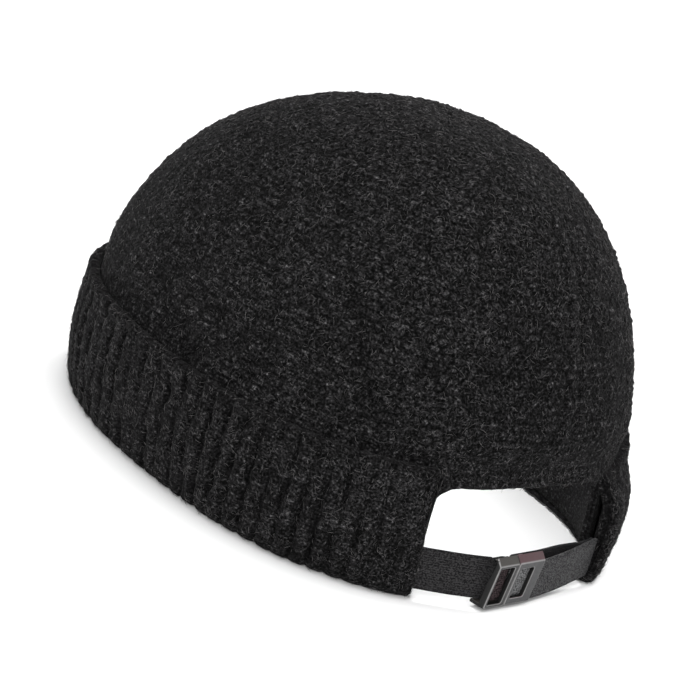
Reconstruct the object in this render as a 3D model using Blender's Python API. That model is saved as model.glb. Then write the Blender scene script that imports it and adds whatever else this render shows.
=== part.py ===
"""A brimless knit docker cap with a ribbed turn-up, open at the back over a webbing strap and a clip buckle.

Front is -Y, the opening is at +Y, the wearer's left is +X, and the cuff's fold rests on Z = 0.
"""

import math

import bmesh
import bpy
import numpy as np
from mathutils import Vector

# Driving dimensions, in metres
CLEARANCE = 0.0003
CROWN_HEIGHT = 0.1405
CROWN_SIDE_REACH = 0.0832
CROWN_FRONT_REACH = 0.1115
CROWN_BACK_REACH = 0.1065
CROWN_WALL = 0.0030
APEX_SETBACK = 0.0170
TUCK_RISE = 0.0130

CUFF_HALF_WIDTH = 0.0845
CUFF_HALF_LENGTH = 0.1082
CUFF_HEIGHT = 0.0455
CUFF_THICKNESS = 0.0050
CUFF_BULGE = 0.0013
BAND_RELIEF = 0.0020
FOLD_RADIUS = 0.0026
FOLD_FOOT = 0.0034
RIB_COUNT = 68
RIB_DEPTH = 0.0013

OPENING_HALF_WIDTH = 0.0444
OPENING_SHIFT = 0.0019
OPENING_HEIGHT = 0.0378
OPENING_CORNER = 0.0100
OPENING_ARCH = 0.0015

STRAP_WIDTH = 0.0146
STRAP_THICKNESS = 0.0013
STRAP_LIFT = 0.0025
STRAP_TAIL = 0.0100
STRAP_SPREAD = 0.0016
STRAP_FOLD_END = 0.0030
STRAP_RETURN = 0.0040
POCKET_INSET = 0.0029

BUCKLE_HEIGHT = 0.0175
BUCKLE_PLATE = 0.0016
BUCKLE_DRAFT = 0.0010
BUCKLE_BAR = 0.0011
BUCKLE_BAR_WIDTH = 0.0022
BUCKLE_EDGE = 0.0003
BUCKLE_OFFSET = 0.0089
BUCKLE_REACH = 0.1084
BUCKLE_TURN = math.radians(5.5)

# Shape numbers, without a unit
PLAN_POWER = 2.35
PLAN_EGG = 0.08
RIB_CROWDING = 0.18
COLUMNS_PER_RIB = 4
CROWN_COLUMNS = 60
DOME_ROWS = 9
TUCK_ROWS = (0.35, 0.7)
STRAP_CURVE_POINTS = 9
LOOP_POINTS = 6
CORNER_STEPS = 6

# The dome's rise seen from each side: share = (1 - height ** rise) ** (1 / reach); and the cuff's flare
# Columns: rise, reach, flare
QUARTERS = {
    "front": (3.47, 1.80, 0.029),
    "side": (2.25, 2.14, 0.105),
    "back": (2.25, 2.28, -0.119),
}

# The turn-up's outer face from its top edge down, as shares of the bulge, the cuff's height and the rib depth
# Columns: inset, height, rib
CUFF_FACE = (
    (1.0, 0.94, 0.8),
    (-0.8, 0.68, 1.0),
    (-1.0, 0.42, 1.0),
    (0.0, 0.15, 1.0),
)

# The two frames of the buckle, from the wearer's left to right
# Columns: width, outer rim, window width, window height
FRAMES = {
    "buckle_left": (0.0106, 0.0022, 0.0066, 0.0124),
    "buckle_right": (0.0137, 0.0047, 0.0074, 0.0104),
}

# Colour, roughness
KNIT = ((0.013, 0.012, 0.014), 0.95)
WEBBING = ((0.016, 0.015, 0.017), 0.80)
PLASTIC = ((0.022, 0.021, 0.023), 0.38)


def clear_scene():
    for item in list(bpy.data.objects):
        bpy.data.objects.remove(item, do_unlink=True)


def material(name, look):
    colour, roughness = look
    result = bpy.data.materials.new(name)
    result.use_nodes = True
    shader = result.node_tree.nodes["Principled BSDF"]
    shader.inputs["Base Color"].default_value = (*colour, 1.0)
    shader.inputs["Roughness"].default_value = roughness
    shader.inputs["Metallic"].default_value = 0.0
    return result


def make_object(name, vertices, faces, look, smooth=True, merge_flat=False):
    mesh = bpy.data.meshes.new(name)
    mesh.from_pydata([tuple(map(float, v)) for v in vertices], [], faces)
    mesh.validate()
    body = bmesh.new()
    body.from_mesh(mesh)
    bmesh.ops.recalc_face_normals(body, faces=body.faces)
    if body.calc_volume(signed=True) < 0:
        bmesh.ops.reverse_faces(body, faces=body.faces)
    if merge_flat:
        bmesh.ops.dissolve_limit(body, angle_limit=math.radians(1), verts=body.verts, edges=body.edges)
    body.to_mesh(mesh)
    body.free()
    if smooth:
        mesh.shade_smooth()
        mesh.set_sharp_from_angle(angle=math.radians(50))
    result = bpy.data.objects.new(name, mesh)
    bpy.context.collection.objects.link(result)
    mesh.materials.append(look)
    return result


def cut(target, cutter):
    """Take the cutter away from the target, and keep the cutter as a hidden wire guide."""
    cutter.hide_render = True
    cutter.display_type = "WIRE"
    step = target.modifiers.new(cutter.name, "BOOLEAN")
    step.operation = "DIFFERENCE"
    step.solver = "EXACT"
    step.object = cutter


def grid_faces(rows, columns, closed):
    """Quads between neighbouring rows; closed joins the last column to the first."""
    steps = columns if closed else columns - 1
    faces = []
    for start in range(0, (rows - 1) * columns, columns):
        for here in range(steps):
            beside = (here + 1) % columns
            faces.append((start + here, start + beside, start + columns + beside, start + columns + here))
    return faces


def blend(column, theta):
    """One column of QUARTERS at an angle round the head: front, side and back run into each other."""
    back = np.clip(np.sin(theta), 0, 1) ** 2
    front = np.clip(-np.sin(theta), 0, 1) ** 2
    front_value, side_value, back_value = (QUARTERS[key][column] for key in ("front", "side", "back"))
    return front * front_value + back * back_value + (1 - front - back) * side_value


def plan(theta, half_x, half_y):
    """A rounded head plan, whose power above 2 fills its corners."""
    radius = (np.abs(np.cos(theta)) ** PLAN_POWER + np.abs(np.sin(theta)) ** PLAN_POWER) ** (-1 / PLAN_POWER)
    return half_x * radius * np.cos(theta), half_y * radius * np.sin(theta)


def cuff_point(theta, height, inset=0.0):
    """The cuff's outer face at an angle and a height, moved inward by inset."""
    grow = blend(2, theta) * height - inset
    x, y = plan(theta, CUFF_HALF_WIDTH + grow, CUFF_HALF_LENGTH + grow)
    return x * (1 + PLAN_EGG * y / CUFF_HALF_LENGTH), y


def end_angle(side):
    """The angle of the cuff's end on one side, 1 on the wearer's left and -1 on the right."""
    half_width = OPENING_HALF_WIDTH + side * OPENING_SHIFT
    low, high = 0.0, math.pi / 2
    for _ in range(40):
        middle = (low + high) / 2
        if cuff_point(middle, CUFF_HEIGHT / 2)[0] > half_width:
            low = middle
        else:
            high = middle
    return low if side > 0 else math.pi - low


def smooth_step(share):
    share = np.clip(share, 0, 1)
    return share * share * (3 - 2 * share)


def dome_point(theta, height):
    share = height / CROWN_HEIGHT
    reach = np.maximum(1 - share ** blend(0, theta), 0) ** (1 / blend(1, theta))
    half_y = np.where(np.sin(theta) < 0, CROWN_FRONT_REACH, CROWN_BACK_REACH)
    x, y = plan(theta, CROWN_SIDE_REACH, half_y)
    x = reach * x * (1 + PLAN_EGG * y / CUFF_HALF_LENGTH * (1 - share))
    return x, reach * y + APEX_SETBACK * share**2


def band_relief(theta):
    """How far the crown's band stands out again between the two ends of the cuff."""
    left, right = end_angle(1), end_angle(-1)
    from_middle = np.abs(np.mod(theta, 2 * math.pi) - (left + right) / 2)
    half = (right - left) / 2
    return BAND_RELIEF * smooth_step((half - from_middle) / (half / 2))


def crown_point(theta, height):
    """The crown's outer face: the dome, tucked into the cuff below the cuff's top edge."""
    dome_x, dome_y = dome_point(theta, height)
    inset = CUFF_THICKNESS + CLEARANCE - band_relief(theta)
    cuff_x, cuff_y = cuff_point(theta, np.minimum(height, CUFF_HEIGHT), inset)
    inner_x = np.copysign(np.minimum(np.abs(dome_x), np.abs(cuff_x)), dome_x)
    inner_y = np.copysign(np.minimum(np.abs(dome_y), np.abs(cuff_y)), dome_y)
    free = smooth_step((height - CUFF_HEIGHT) / TUCK_RISE)
    return inner_x + (dome_x - inner_x) * free, inner_y + (dome_y - inner_y) * free


def crown_heights():
    rim = FOLD_FOOT + CLEARANCE
    tucked = [rim, (rim + CUFF_HEIGHT) / 2, CUFF_HEIGHT]
    rising = [CUFF_HEIGHT + TUCK_RISE * share for share in TUCK_ROWS]
    start = math.asin((CUFF_HEIGHT + TUCK_RISE) / CROWN_HEIGHT)
    angles = np.linspace(start, math.pi / 2, DOME_ROWS + 1)[:-1]
    return np.array(tucked + rising + [CROWN_HEIGHT * math.sin(angle) for angle in angles])


def opening_cutter():
    """An upright slab with round top corners and an arched top, which opens the back of the crown."""
    inset = CUFF_THICKNESS + CLEARANCE
    edge = [float(cuff_point(end_angle(side), CUFF_HEIGHT / 2, inset)[0]) for side in (1, -1)]
    below = -CUFF_HEIGHT / 2
    outline = [(edge[0], below)]
    for side, wall in zip((1, -1), edge):
        for step in range(CORNER_STEPS + 1):
            angle = math.pi / 2 * (step if side > 0 else CORNER_STEPS - step) / CORNER_STEPS
            x = wall - side * OPENING_CORNER * (1 - math.cos(angle))
            outline.append((x, OPENING_HEIGHT - OPENING_CORNER * (1 - math.sin(angle))))
        if side > 0:
            outline.append((sum(edge) / 2, OPENING_HEIGHT + OPENING_ARCH))
    outline.append((edge[1], below))
    near, far = CUFF_HALF_LENGTH / 3, CUFF_HALF_LENGTH * 1.5
    vertices = [(x, y, z) for y in (near, far) for x, z in outline]
    count = len(outline)
    faces = grid_faces(2, count, True) + [tuple(range(count)), tuple(range(count, 2 * count))]
    return make_object("opening_cutter", vertices, faces, bpy.data.materials["knit"], smooth=False)


def make_crown():
    heights = crown_heights()
    theta = np.linspace(0, 2 * math.pi, CROWN_COLUMNS, endpoint=False)
    rings = []
    for height in heights:
        x, y = crown_point(theta, np.full_like(theta, height))
        rings.append(np.column_stack([x, y, np.full_like(theta, height)]))
    vertices = np.vstack(rings + [[[0, APEX_SETBACK, CROWN_HEIGHT]]])
    apex = len(vertices) - 1
    last = (len(heights) - 1) * CROWN_COLUMNS
    faces = grid_faces(len(heights), CROWN_COLUMNS, True)
    faces += [(last + c, last + (c + 1) % CROWN_COLUMNS, apex) for c in range(CROWN_COLUMNS)]
    crown = make_object("crown", vertices, faces, bpy.data.materials["knit"])
    wall = crown.modifiers.new("wall", "SOLIDIFY")
    wall.thickness = CROWN_WALL
    wall.offset = -1
    wall.use_even_offset = True
    cut(crown, opening_cutter())
    return crown


def cuff_columns():
    """Angles from the opening's left end round the front to its right end, and each one's share of the way."""
    fine = np.linspace(end_angle(1), end_angle(-1) - 2 * math.pi, 2000)
    x, y = cuff_point(fine, CUFF_HEIGHT / 2)
    walked = np.concatenate([[0], np.cumsum(np.hypot(np.diff(x), np.diff(y)))])
    along = np.linspace(0, 1, RIB_COUNT * COLUMNS_PER_RIB + 1)
    share = along - RIB_CROWDING * np.sin(2 * math.pi * along) / (2 * math.pi)
    return np.interp(share * walked[-1], walked, fine), along


def cuff_section():
    """The turn-up cut across: inset from the outer face, height, and how much of the rib depth shows."""
    depth = CUFF_THICKNESS + CLEARANCE + CROWN_WALL
    wall, top = CUFF_THICKNESS, CUFF_HEIGHT
    face = [(CUFF_BULGE * inset, top * height, rib) for inset, height, rib in CUFF_FACE]
    return face + [
        (FOLD_RADIUS * 0.3, FOLD_RADIUS * 0.7, 0.7),
        (FOLD_RADIUS, 0.0, 0.0),
        (depth - FOLD_RADIUS, 0.0, 0.0),
        (depth, FOLD_RADIUS, 0.0),
        (depth, FOLD_FOOT, 0.0),
        (wall, FOLD_FOOT, 0.0),
        (wall, top * 0.97, 0.0),
        (wall * 0.8, top, 0.0),
        (wall * 0.35, top, 0.3),
    ]


def make_cuff():
    theta, along = cuff_columns()
    valley = (0.5 - 0.5 * np.cos(2 * math.pi * RIB_COUNT * along)) ** 1.5
    rows = []
    for inset, height, rib in cuff_section():
        x, y = cuff_point(theta, np.full_like(theta, height), inset + rib * RIB_DEPTH * valley)
        rows.append(np.column_stack([x, y, np.full_like(theta, height)]))
    count, columns = len(rows), len(theta)
    faces = grid_faces(count, columns, False)
    last = (count - 1) * columns
    faces += [(c + 1, c, last + c, last + c + 1) for c in range(columns - 1)]
    for end in (0, columns - 1):
        faces.append(tuple(r * columns + end for r in range(count)))
    return make_object("cuff", np.vstack(rows), faces, bpy.data.materials["knit"])


def buckle_axes():
    """The buckle's front middle, and its directions along the strap towards -X and inward."""
    along = Vector((-math.cos(BUCKLE_TURN), -math.sin(BUCKLE_TURN), 0))
    inward = Vector((math.sin(BUCKLE_TURN), -math.cos(BUCKLE_TURN), 0))
    middle = Vector((BUCKLE_OFFSET, BUCKLE_REACH, STRAP_LIFT + STRAP_WIDTH / 2))
    return middle, along, inward


def buckle_point(across, depth, rise=0.0):
    """A point from its place along the strap, its depth behind the front face and its rise from the middle."""
    middle, along, inward = buckle_axes()
    return middle + along * across + inward * depth + Vector((0, 0, rise))


def layer_depths():
    """How far behind the buckle's face the front layer, the bar and the back layer have their middles."""
    front = BUCKLE_PLATE + CLEARANCE + STRAP_THICKNESS / 2
    bar = front + STRAP_THICKNESS / 2 + CLEARANCE + BUCKLE_BAR / 2
    return front, bar, 2 * bar - front


def frame_spans():
    """Where each frame begins and ends along the strap; the joint between them is at zero."""
    left_width = FRAMES["buckle_left"][0]
    right_width = FRAMES["buckle_right"][0]
    shift = (left_width - right_width) / 2
    return {
        "buckle_left": (shift - left_width - CLEARANCE / 2, shift - CLEARANCE / 2),
        "buckle_right": (shift + CLEARANCE / 2, shift + right_width + CLEARANCE / 2),
    }


def bar_place(name):
    """Start and end of a frame's bar, set back from the joint by the loop of strap that turns round it."""
    low, high = frame_spans()[name]
    front, _, back = layer_depths()
    loop = (back - front) / 2 + STRAP_THICKNESS / 2 + CLEARANCE
    if name == "buckle_left":
        return high - loop - BUCKLE_BAR_WIDTH, high - loop
    return low + loop, low + loop + BUCKLE_BAR_WIDTH


def cell_solid(across, depth, rise, is_solid):
    """A closed mesh of box cells between three lists of cut places; is_solid says which cells are filled."""
    counts = (len(across), len(depth), len(rise))

    def filled(i, j, k):
        inside = 0 <= i < counts[0] - 1 and 0 <= j < counts[1] - 1 and 0 <= k < counts[2] - 1
        return inside and is_solid(
            (across[i] + across[i + 1]) / 2, (depth[j] + depth[j + 1]) / 2, (rise[k] + rise[k + 1]) / 2
        )

    used, vertices, faces = {}, [], []

    def corner(i, j, k):
        if (i, j, k) not in used:
            used[i, j, k] = len(vertices)
            vertices.append((across[i], depth[j], rise[k]))
        return used[i, j, k]

    sides = {
        (-1, 0, 0): ((0, 0, 0), (0, 0, 1), (0, 1, 1), (0, 1, 0)),
        (1, 0, 0): ((1, 0, 0), (1, 1, 0), (1, 1, 1), (1, 0, 1)),
        (0, -1, 0): ((0, 0, 0), (1, 0, 0), (1, 0, 1), (0, 0, 1)),
        (0, 1, 0): ((0, 1, 0), (0, 1, 1), (1, 1, 1), (1, 1, 0)),
        (0, 0, -1): ((0, 0, 0), (0, 1, 0), (1, 1, 0), (1, 0, 0)),
        (0, 0, 1): ((0, 0, 1), (1, 0, 1), (1, 1, 1), (0, 1, 1)),
    }
    for i in range(counts[0] - 1):
        for j in range(counts[1] - 1):
            for k in range(counts[2] - 1):
                if not filled(i, j, k):
                    continue
                for (di, dj, dk), corners in sides.items():
                    if not filled(i + di, j + dj, k + dk):
                        faces.append(tuple(corner(i + a, j + b, k + c) for a, b, c in corners))
    return vertices, faces


def make_buckle(name):
    """A frame with a window, two rails above and below the strap, and the bar that the strap loops round."""
    low, high = frame_spans()[name]
    _, rim, window, window_height = FRAMES[name]
    outer_left = name == "buckle_left"
    window_low = low + rim if outer_left else high - rim - window
    window_high = window_low + window
    bar_low, bar_high = bar_place(name)
    _, bar, back = layer_depths()
    deep = back + STRAP_THICKNESS / 2 + CLEARANCE
    inner = STRAP_WIDTH / 2 + CLEARANCE
    top = BUCKLE_HEIGHT / 2
    across = sorted({low, window_low, window_high, bar_low, bar_high, high})
    depth = [0.0, BUCKLE_PLATE, bar - BUCKLE_BAR / 2, bar + BUCKLE_BAR / 2, deep]
    rise = sorted([-top, -inner, -window_height / 2, window_height / 2, inner, top])

    def is_solid(a, d, r):
        if d < BUCKLE_PLATE:
            return not (window_low < a < window_high and abs(r) < window_height / 2)
        on_bar = bar_low < a < bar_high and abs(d - bar) < BUCKLE_BAR / 2
        return abs(r) > inner or on_bar

    vertices, faces = cell_solid(across, depth, rise, is_solid)
    outer = low if outer_left else high
    toward = 1 if outer_left else -1
    placed = []
    for a, d, r in vertices:
        if d == 0.0 and a == outer:
            a += toward * BUCKLE_DRAFT
        if d == 0.0 and abs(r) > window_height / 2:
            r *= 1 - BUCKLE_DRAFT / top
        placed.append(buckle_point(a, d, r))
    buckle = make_object(name, placed, faces, bpy.data.materials["plastic"], merge_flat=True)
    edge = buckle.modifiers.new("edge", "BEVEL")
    edge.width = BUCKLE_EDGE
    edge.segments = 1
    edge.limit_method = "ANGLE"
    edge.angle_limit = math.radians(40)
    return buckle


def pocket_route(side):
    """The strap's tail inside the cuff, from its sewn end out; side is 1 on the wearer's left."""
    step = STRAP_TAIL / CUFF_HALF_LENGTH
    route = []
    for share in (1.0, 0.5, 0.0):
        x, y = cuff_point(end_angle(side) - side * share * step, STRAP_LIFT + STRAP_WIDTH / 2, POCKET_INSET)
        route.append(Vector((float(x), float(y), 0)))
    return route


def curve(start, start_way, finish, finish_way, count):
    """Points of a smooth Hermite curve between two places, without its ends."""
    span = (finish - start).length
    points = []
    for step in range(1, count + 1):
        t = step / (count + 1)
        points.append(
            start * (2 * t**3 - 3 * t**2 + 1)
            + start_way * span * (t**3 - 2 * t**2 + t)
            + finish * (3 * t**2 - 2 * t**3)
            + finish_way * span * (t**3 - t**2)
        )
    return points


def loop_route(name):
    """The U-turn round a frame's bar, from the front layer to the back layer."""
    front, bar, back = layer_depths()
    bar_low, bar_high = bar_place(name)
    outward = 1 if name == "buckle_left" else -1
    edge = bar_high if outward > 0 else bar_low
    radius = (back - front) / 2
    route = []
    for step in range(LOOP_POINTS + 1):
        angle = math.pi * step / LOOP_POINTS
        route.append(buckle_point(edge + outward * radius * math.sin(angle), bar - radius * math.cos(angle)))
    return [Vector((point.x, point.y, 0)) for point in route]


def strap_route(side):
    """Plan route of a strap: out of the cuff, through its frame, round the bar and back inside."""
    name = "buckle_left" if side > 0 else "buckle_right"
    low, high = frame_spans()[name]
    front, _, back = layer_depths()
    pocket = pocket_route(side)
    out_way = (pocket[2] - pocket[1]).normalized()
    mouth = low if side > 0 else high
    enter = buckle_point(mouth, front)
    enter.z = 0
    leave = buckle_point(mouth, back)
    leave.z = 0
    _, along, inward = buckle_axes()
    toward = along * side
    route = pocket + curve(pocket[2], out_way, enter, toward, STRAP_CURVE_POINTS)
    route += [enter] + loop_route(name) + [leave]
    if side > 0:
        return route + [leave - toward * STRAP_RETURN]
    end = pocket[2] + out_way * STRAP_FOLD_END + inward * (STRAP_THICKNESS + CLEARANCE)
    spread = curve(leave, -toward, end, -out_way, STRAP_CURVE_POINTS)
    for step, point in enumerate(spread, 1):
        share = step / (STRAP_CURVE_POINTS + 1)
        point += inward * STRAP_SPREAD * math.sin(math.pi * share) ** 2
    return route + spread + [end]


def sweep(route, half_thick, low, high):
    """A closed ribbon: a rectangle carried along a plan route, mitred at each point."""
    count = len(route)
    vertices = []
    for index, point in enumerate(route):
        before = (point - route[index - 1]).normalized() if index else None
        after = (route[index + 1] - point).normalized() if index < count - 1 else None
        before = before or after
        after = after or before
        way = (before + after).normalized()
        side = Vector((-way.y, way.x, 0)) * (half_thick / max(way.dot(after), 0.5))
        for offset, height in ((side, low), (side, high), (-side, high), (-side, low)):
            vertices.append((point.x + offset.x, point.y + offset.y, height))
    faces = grid_faces(count, 4, True)
    faces += [(0, 1, 2, 3), tuple(4 * (count - 1) + k for k in (3, 2, 1, 0))]
    return vertices, faces


def make_strap(name, side, cuff):
    low, high = STRAP_LIFT, STRAP_LIFT + STRAP_WIDTH
    webbing = bpy.data.materials["webbing"]
    vertices, faces = sweep(strap_route(side), STRAP_THICKNESS / 2, low, high)
    make_object(name, vertices, faces, webbing)
    tail = pocket_route(side)
    way = (tail[2] - tail[1]).normalized()
    tail[0] = tail[0] + (tail[0] - tail[1]).normalized() * CLEARANCE
    tail.append(tail[2] + way * CUFF_THICKNESS)
    vertices, faces = sweep(tail, STRAP_THICKNESS / 2 + CLEARANCE, low - CLEARANCE, high + CLEARANCE)
    cut(cuff, make_object(name + "_pocket", vertices, faces, webbing, smooth=False))


def centre_on_floor():
    """Move every piece so that the cap's bounding box stands over the origin."""
    bpy.context.view_layer.update()
    graph = bpy.context.evaluated_depsgraph_get()
    shown = [item for item in bpy.data.objects if not item.hide_render]
    corners = [Vector(c) for item in shown for c in item.evaluated_get(graph).bound_box]
    middle_y = (min(c.y for c in corners) + max(c.y for c in corners)) / 2
    for item in bpy.data.objects:
        item.location.y -= middle_y


def build_cap():
    clear_scene()
    material("knit", KNIT)
    material("webbing", WEBBING)
    material("plastic", PLASTIC)
    make_crown()
    cuff = make_cuff()
    for name in FRAMES:
        make_buckle(name)
    make_strap("strap_left", 1, cuff)
    make_strap("strap_right", -1, cuff)
    centre_on_floor()


build_cap()
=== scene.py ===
"""A brimless knit docker cap with a ribbed turn-up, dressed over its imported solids.

Front is -Y, the opening with its strap and buckle is at +Y, and the cuff's fold rests on Z = 0.
Sizes are in metres.
"""

import logging
import math
from dataclasses import dataclass
from enum import Enum
from typing import Any, Callable

import bpy
import numpy as np
from mathutils import Matrix, Vector


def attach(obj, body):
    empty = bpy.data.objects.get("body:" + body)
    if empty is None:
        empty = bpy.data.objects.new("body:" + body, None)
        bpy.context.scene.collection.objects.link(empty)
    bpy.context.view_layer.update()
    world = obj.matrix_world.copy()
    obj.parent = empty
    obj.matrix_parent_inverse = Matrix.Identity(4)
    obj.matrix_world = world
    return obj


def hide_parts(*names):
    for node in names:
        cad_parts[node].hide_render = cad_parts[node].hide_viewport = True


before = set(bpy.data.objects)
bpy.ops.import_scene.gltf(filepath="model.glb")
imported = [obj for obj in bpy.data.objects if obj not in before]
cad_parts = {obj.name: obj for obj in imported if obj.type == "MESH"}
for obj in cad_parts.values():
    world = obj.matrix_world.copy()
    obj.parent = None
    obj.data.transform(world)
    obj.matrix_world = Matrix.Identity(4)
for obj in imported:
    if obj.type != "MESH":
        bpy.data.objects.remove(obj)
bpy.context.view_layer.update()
TURN = 2 * math.pi

Array = np.ndarray
Triple = tuple[float, float, float]
Box = tuple[float, float, float, float]
LATTICE_ROWS = 256
MIDDLE = np.array([0.0, 0.0, 0.04])
FIBRES = 14000
log = logging.getLogger("docker_cap")


class Slot(Enum):
    """The record's material slots."""

    CROWN = "knit_crown"
    CUFF = "knit_cuff"
    WEBBING = "webbing"
    PLASTIC = "buckle_plastic"


class Side(Enum):
    """A side of the opening, as the wearer has it."""

    LEFT = 1
    RIGHT = -1


def smooth_step(share: Array) -> Array:
    """Ease a share from 0 to 1 without a kink.

    Args:
        share: Values that are held to 0 and 1.

    Returns:
        Three shares squared less two shares cubed.
    """
    held = np.clip(share, 0.0, 1.0)
    return held * held * (3 - 2 * held)


@dataclass(frozen=True)
class Hills:
    """Smooth random hills: a lattice of random heights, eased from point to point."""

    height: float
    length: float
    cells: int
    seed: int

    def at(self, across: Array, along: Array) -> Array:
        """Heights of the hills.

        Args:
            across: Place that repeats after one unit, in which there are so many cells.
            along: Place in metres, in steps of the hills' length.

        Returns:
            Heights, up and down to the hills' own.
        """
        lattice = np.random.default_rng(self.seed).uniform(-1, 1, (LATTICE_ROWS, self.cells))
        x, y = across * self.cells, along / self.length + 0.0 * across
        column, row = np.floor(x).astype(int), np.floor(y).astype(int)
        ease_x, ease_y = smooth_step(x - column), smooth_step(y - row)
        left, right = column % self.cells, (column + 1) % self.cells
        low, high = row % LATTICE_ROWS, (row + 1) % LATTICE_ROWS
        lower = lattice[low, left] * (1 - ease_x) + lattice[low, right] * ease_x
        upper = lattice[high, left] * (1 - ease_x) + lattice[high, right] * ease_x
        return self.height * (lower * (1 - ease_y) + upper * ease_y)


def groove(distance: Array, width: float) -> Array:
    """A bell across a line: e to the minus square of distance over width."""
    return np.exp(-((distance / width) ** 2))


def arch(place: Array) -> Array:
    """A cosine arch over each unit, 0 at its ends and 1 in its middle."""
    return np.abs(np.cos(math.pi * (place - np.floor(place) - 0.5)))


def walked_along(x: Array, y: Array) -> Array:
    """Distance walked at each point of a plane line."""
    return np.concatenate([[0], np.cumsum(np.hypot(np.diff(x), np.diff(y)))])


class Skin:
    """Rings of points joined one to the next into one mesh, with a mark for each corner."""

    def __init__(self) -> None:
        """Start with no rings."""
        self.points: list[Array] = []
        self.relief: list[Array] = []
        self.marks: list[Array] = []
        self.counts: list[int] = []
        self.polygons: list[Array] = []
        self.corners: list[Array] = []

    def ring(self, points: Array, marks: Array, relief: Array | float = 1.0) -> int:
        """Add a closed ring.

        Args:
            points: Its points, n by 3.
            marks: Pattern places of its columns, n + 1 by 2, so that the closing column has its own.
            relief: How far up its stitch each point lies, from 0 to 1.

        Returns:
            The ring's number.
        """
        self.points.append(points)
        self.marks.append(marks)
        self.relief.append(np.broadcast_to(relief, (len(points),)).astype(float))
        self.counts.append(len(points))
        return len(self.counts) - 1

    def _places(self, ring: int, columns: Array) -> tuple[Array, Array]:
        """Vertex numbers and marks of some columns of a ring."""
        start = sum(self.counts[:ring])
        return start + columns % self.counts[ring], self.marks[ring][columns]

    def _keep(self, corners: list[tuple[int, Array]], scale: tuple[float, float], flip: bool) -> None:
        """Keep a set of like polygons.

        Args:
            corners: For each corner its ring and its columns.
            scale: Factor on the marks.
            flip: Turns the faces over.
        """
        step = -1 if flip else 1
        places = [self._places(ring, columns) for ring, columns in corners][::step]
        self.polygons.append(np.stack([vertices for vertices, _ in places], axis=1))
        self.corners.append(np.stack([marks for _, marks in places], axis=1) * scale)

    def join(self, low: int, high: int, scale: tuple[float, float] = (1.0, 1.0), flip: bool = False) -> None:
        """Join two rings; the second may have half as many points as the first.

        Args:
            low: The ring that the outward side has on its right when it runs forward.
            high: The next ring.
            scale: Factor on the marks of these faces.
            flip: Turns these faces over.
        """
        here = np.arange(self.counts[high])
        if self.counts[low] == self.counts[high]:
            self._keep([(low, here), (low, here + 1), (high, here + 1), (high, here)], scale, flip)
            return
        for triangle in (
            [(low, 2 * here), (low, 2 * here + 1), (high, here)],
            [(low, 2 * here + 1), (high, here + 1), (high, here)],
            [(low, 2 * here + 1), (low, 2 * here + 2), (high, here + 1)],
        ):
            self._keep(triangle, scale, flip)

    def chain(self, rings: list[int]) -> None:
        """Join each ring of a list to the next."""
        for low, high in zip(rings, rings[1:]):
            self.join(low, high)

    def cap(self, ring: int, flip: bool = False) -> None:
        """Close a ring with one face.

        Args:
            ring: The ring.
            flip: Turns the face over.
        """
        columns = np.arange(self.counts[ring])
        vertices, marks = self._places(ring, columns[::-1] if flip else columns)
        self.polygons.append(vertices[None])
        self.corners.append(marks[None])

    def make(self, name: str, flip: bool = False) -> bpy.types.Object:
        """Make the object.

        Args:
            name: The piece's name.
            flip: Turns every face over.

        Returns:
            A smooth mesh object with the marks as UV map and the relief as an attribute.
        """
        points = np.vstack(self.points)
        step = -1 if flip else 1
        loops = np.concatenate([polygon[:, ::step].ravel() for polygon in self.polygons])
        marks = np.concatenate([corner[:, ::step].reshape(-1, 2) for corner in self.corners])
        totals = np.concatenate([np.full(len(p), p.shape[1]) for p in self.polygons])
        mesh = bpy.data.meshes.new(name)
        mesh.vertices.add(len(points))
        mesh.vertices.foreach_set("co", points.astype(np.float32).ravel())
        mesh.loops.add(len(loops))
        mesh.loops.foreach_set("vertex_index", loops.astype(np.int32))
        mesh.polygons.add(len(totals))
        starts = np.concatenate([[0], np.cumsum(totals)[:-1]])
        mesh.polygons.foreach_set("loop_start", starts.astype(np.int32))
        mesh.update(calc_edges=True)
        layer = mesh.uv_layers.new(name="pattern")
        layer.data.foreach_set("uv", marks.astype(np.float32).ravel())
        attribute = mesh.attributes.new("relief", "FLOAT", "POINT")
        attribute.data.foreach_set("value", np.concatenate(self.relief).astype(np.float32))
        mesh.shade_smooth()
        piece = bpy.data.objects.new(name, mesh)
        bpy.context.scene.collection.objects.link(piece)
        return piece


class Value:
    """A number's socket in a node tree, on which plain arithmetic adds Math nodes."""

    def __init__(self, sheet: "Nodes", socket: Any) -> None:
        """Wrap a socket."""
        self.sheet = sheet
        self.socket = socket

    def _with(self, operation: str, *values: Any) -> "Value":
        """Add a Math node on some values."""
        return Value(self.sheet, self.sheet.add("ShaderNodeMath", {"operation": operation}, values))

    def __add__(self, other: Any) -> "Value":
        """Sum."""
        return self._with("ADD", self, other)

    def __sub__(self, other: Any) -> "Value":
        """Difference."""
        return self._with("SUBTRACT", self, other)

    def __rsub__(self, other: Any) -> "Value":
        """Difference from a number."""
        return self._with("SUBTRACT", other, self)

    def __mul__(self, other: Any) -> "Value":
        """Product."""
        return self._with("MULTIPLY", self, other)

    def __pow__(self, other: Any) -> "Value":
        """Power."""
        return self._with("POWER", self, other)

    def exp(self) -> "Value":
        """e to the power of the value."""
        return self._with("EXPONENT", self)

    def over(self, other: "Value") -> "Value":
        """The greater of two values."""
        return self._with("MAXIMUM", self, other)

    def held(self) -> "Value":
        """The value held between 0 and 1."""
        return self._with("MINIMUM", self._with("MAXIMUM", self, 0.0), 1.0)

    def wave(self, period: float = 1.0) -> "Value":
        """A cosine of the value, from 0 to 1 and back in each period."""
        return self._with("COSINE", self * (TURN / period)) * 0.5 + 0.5


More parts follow.
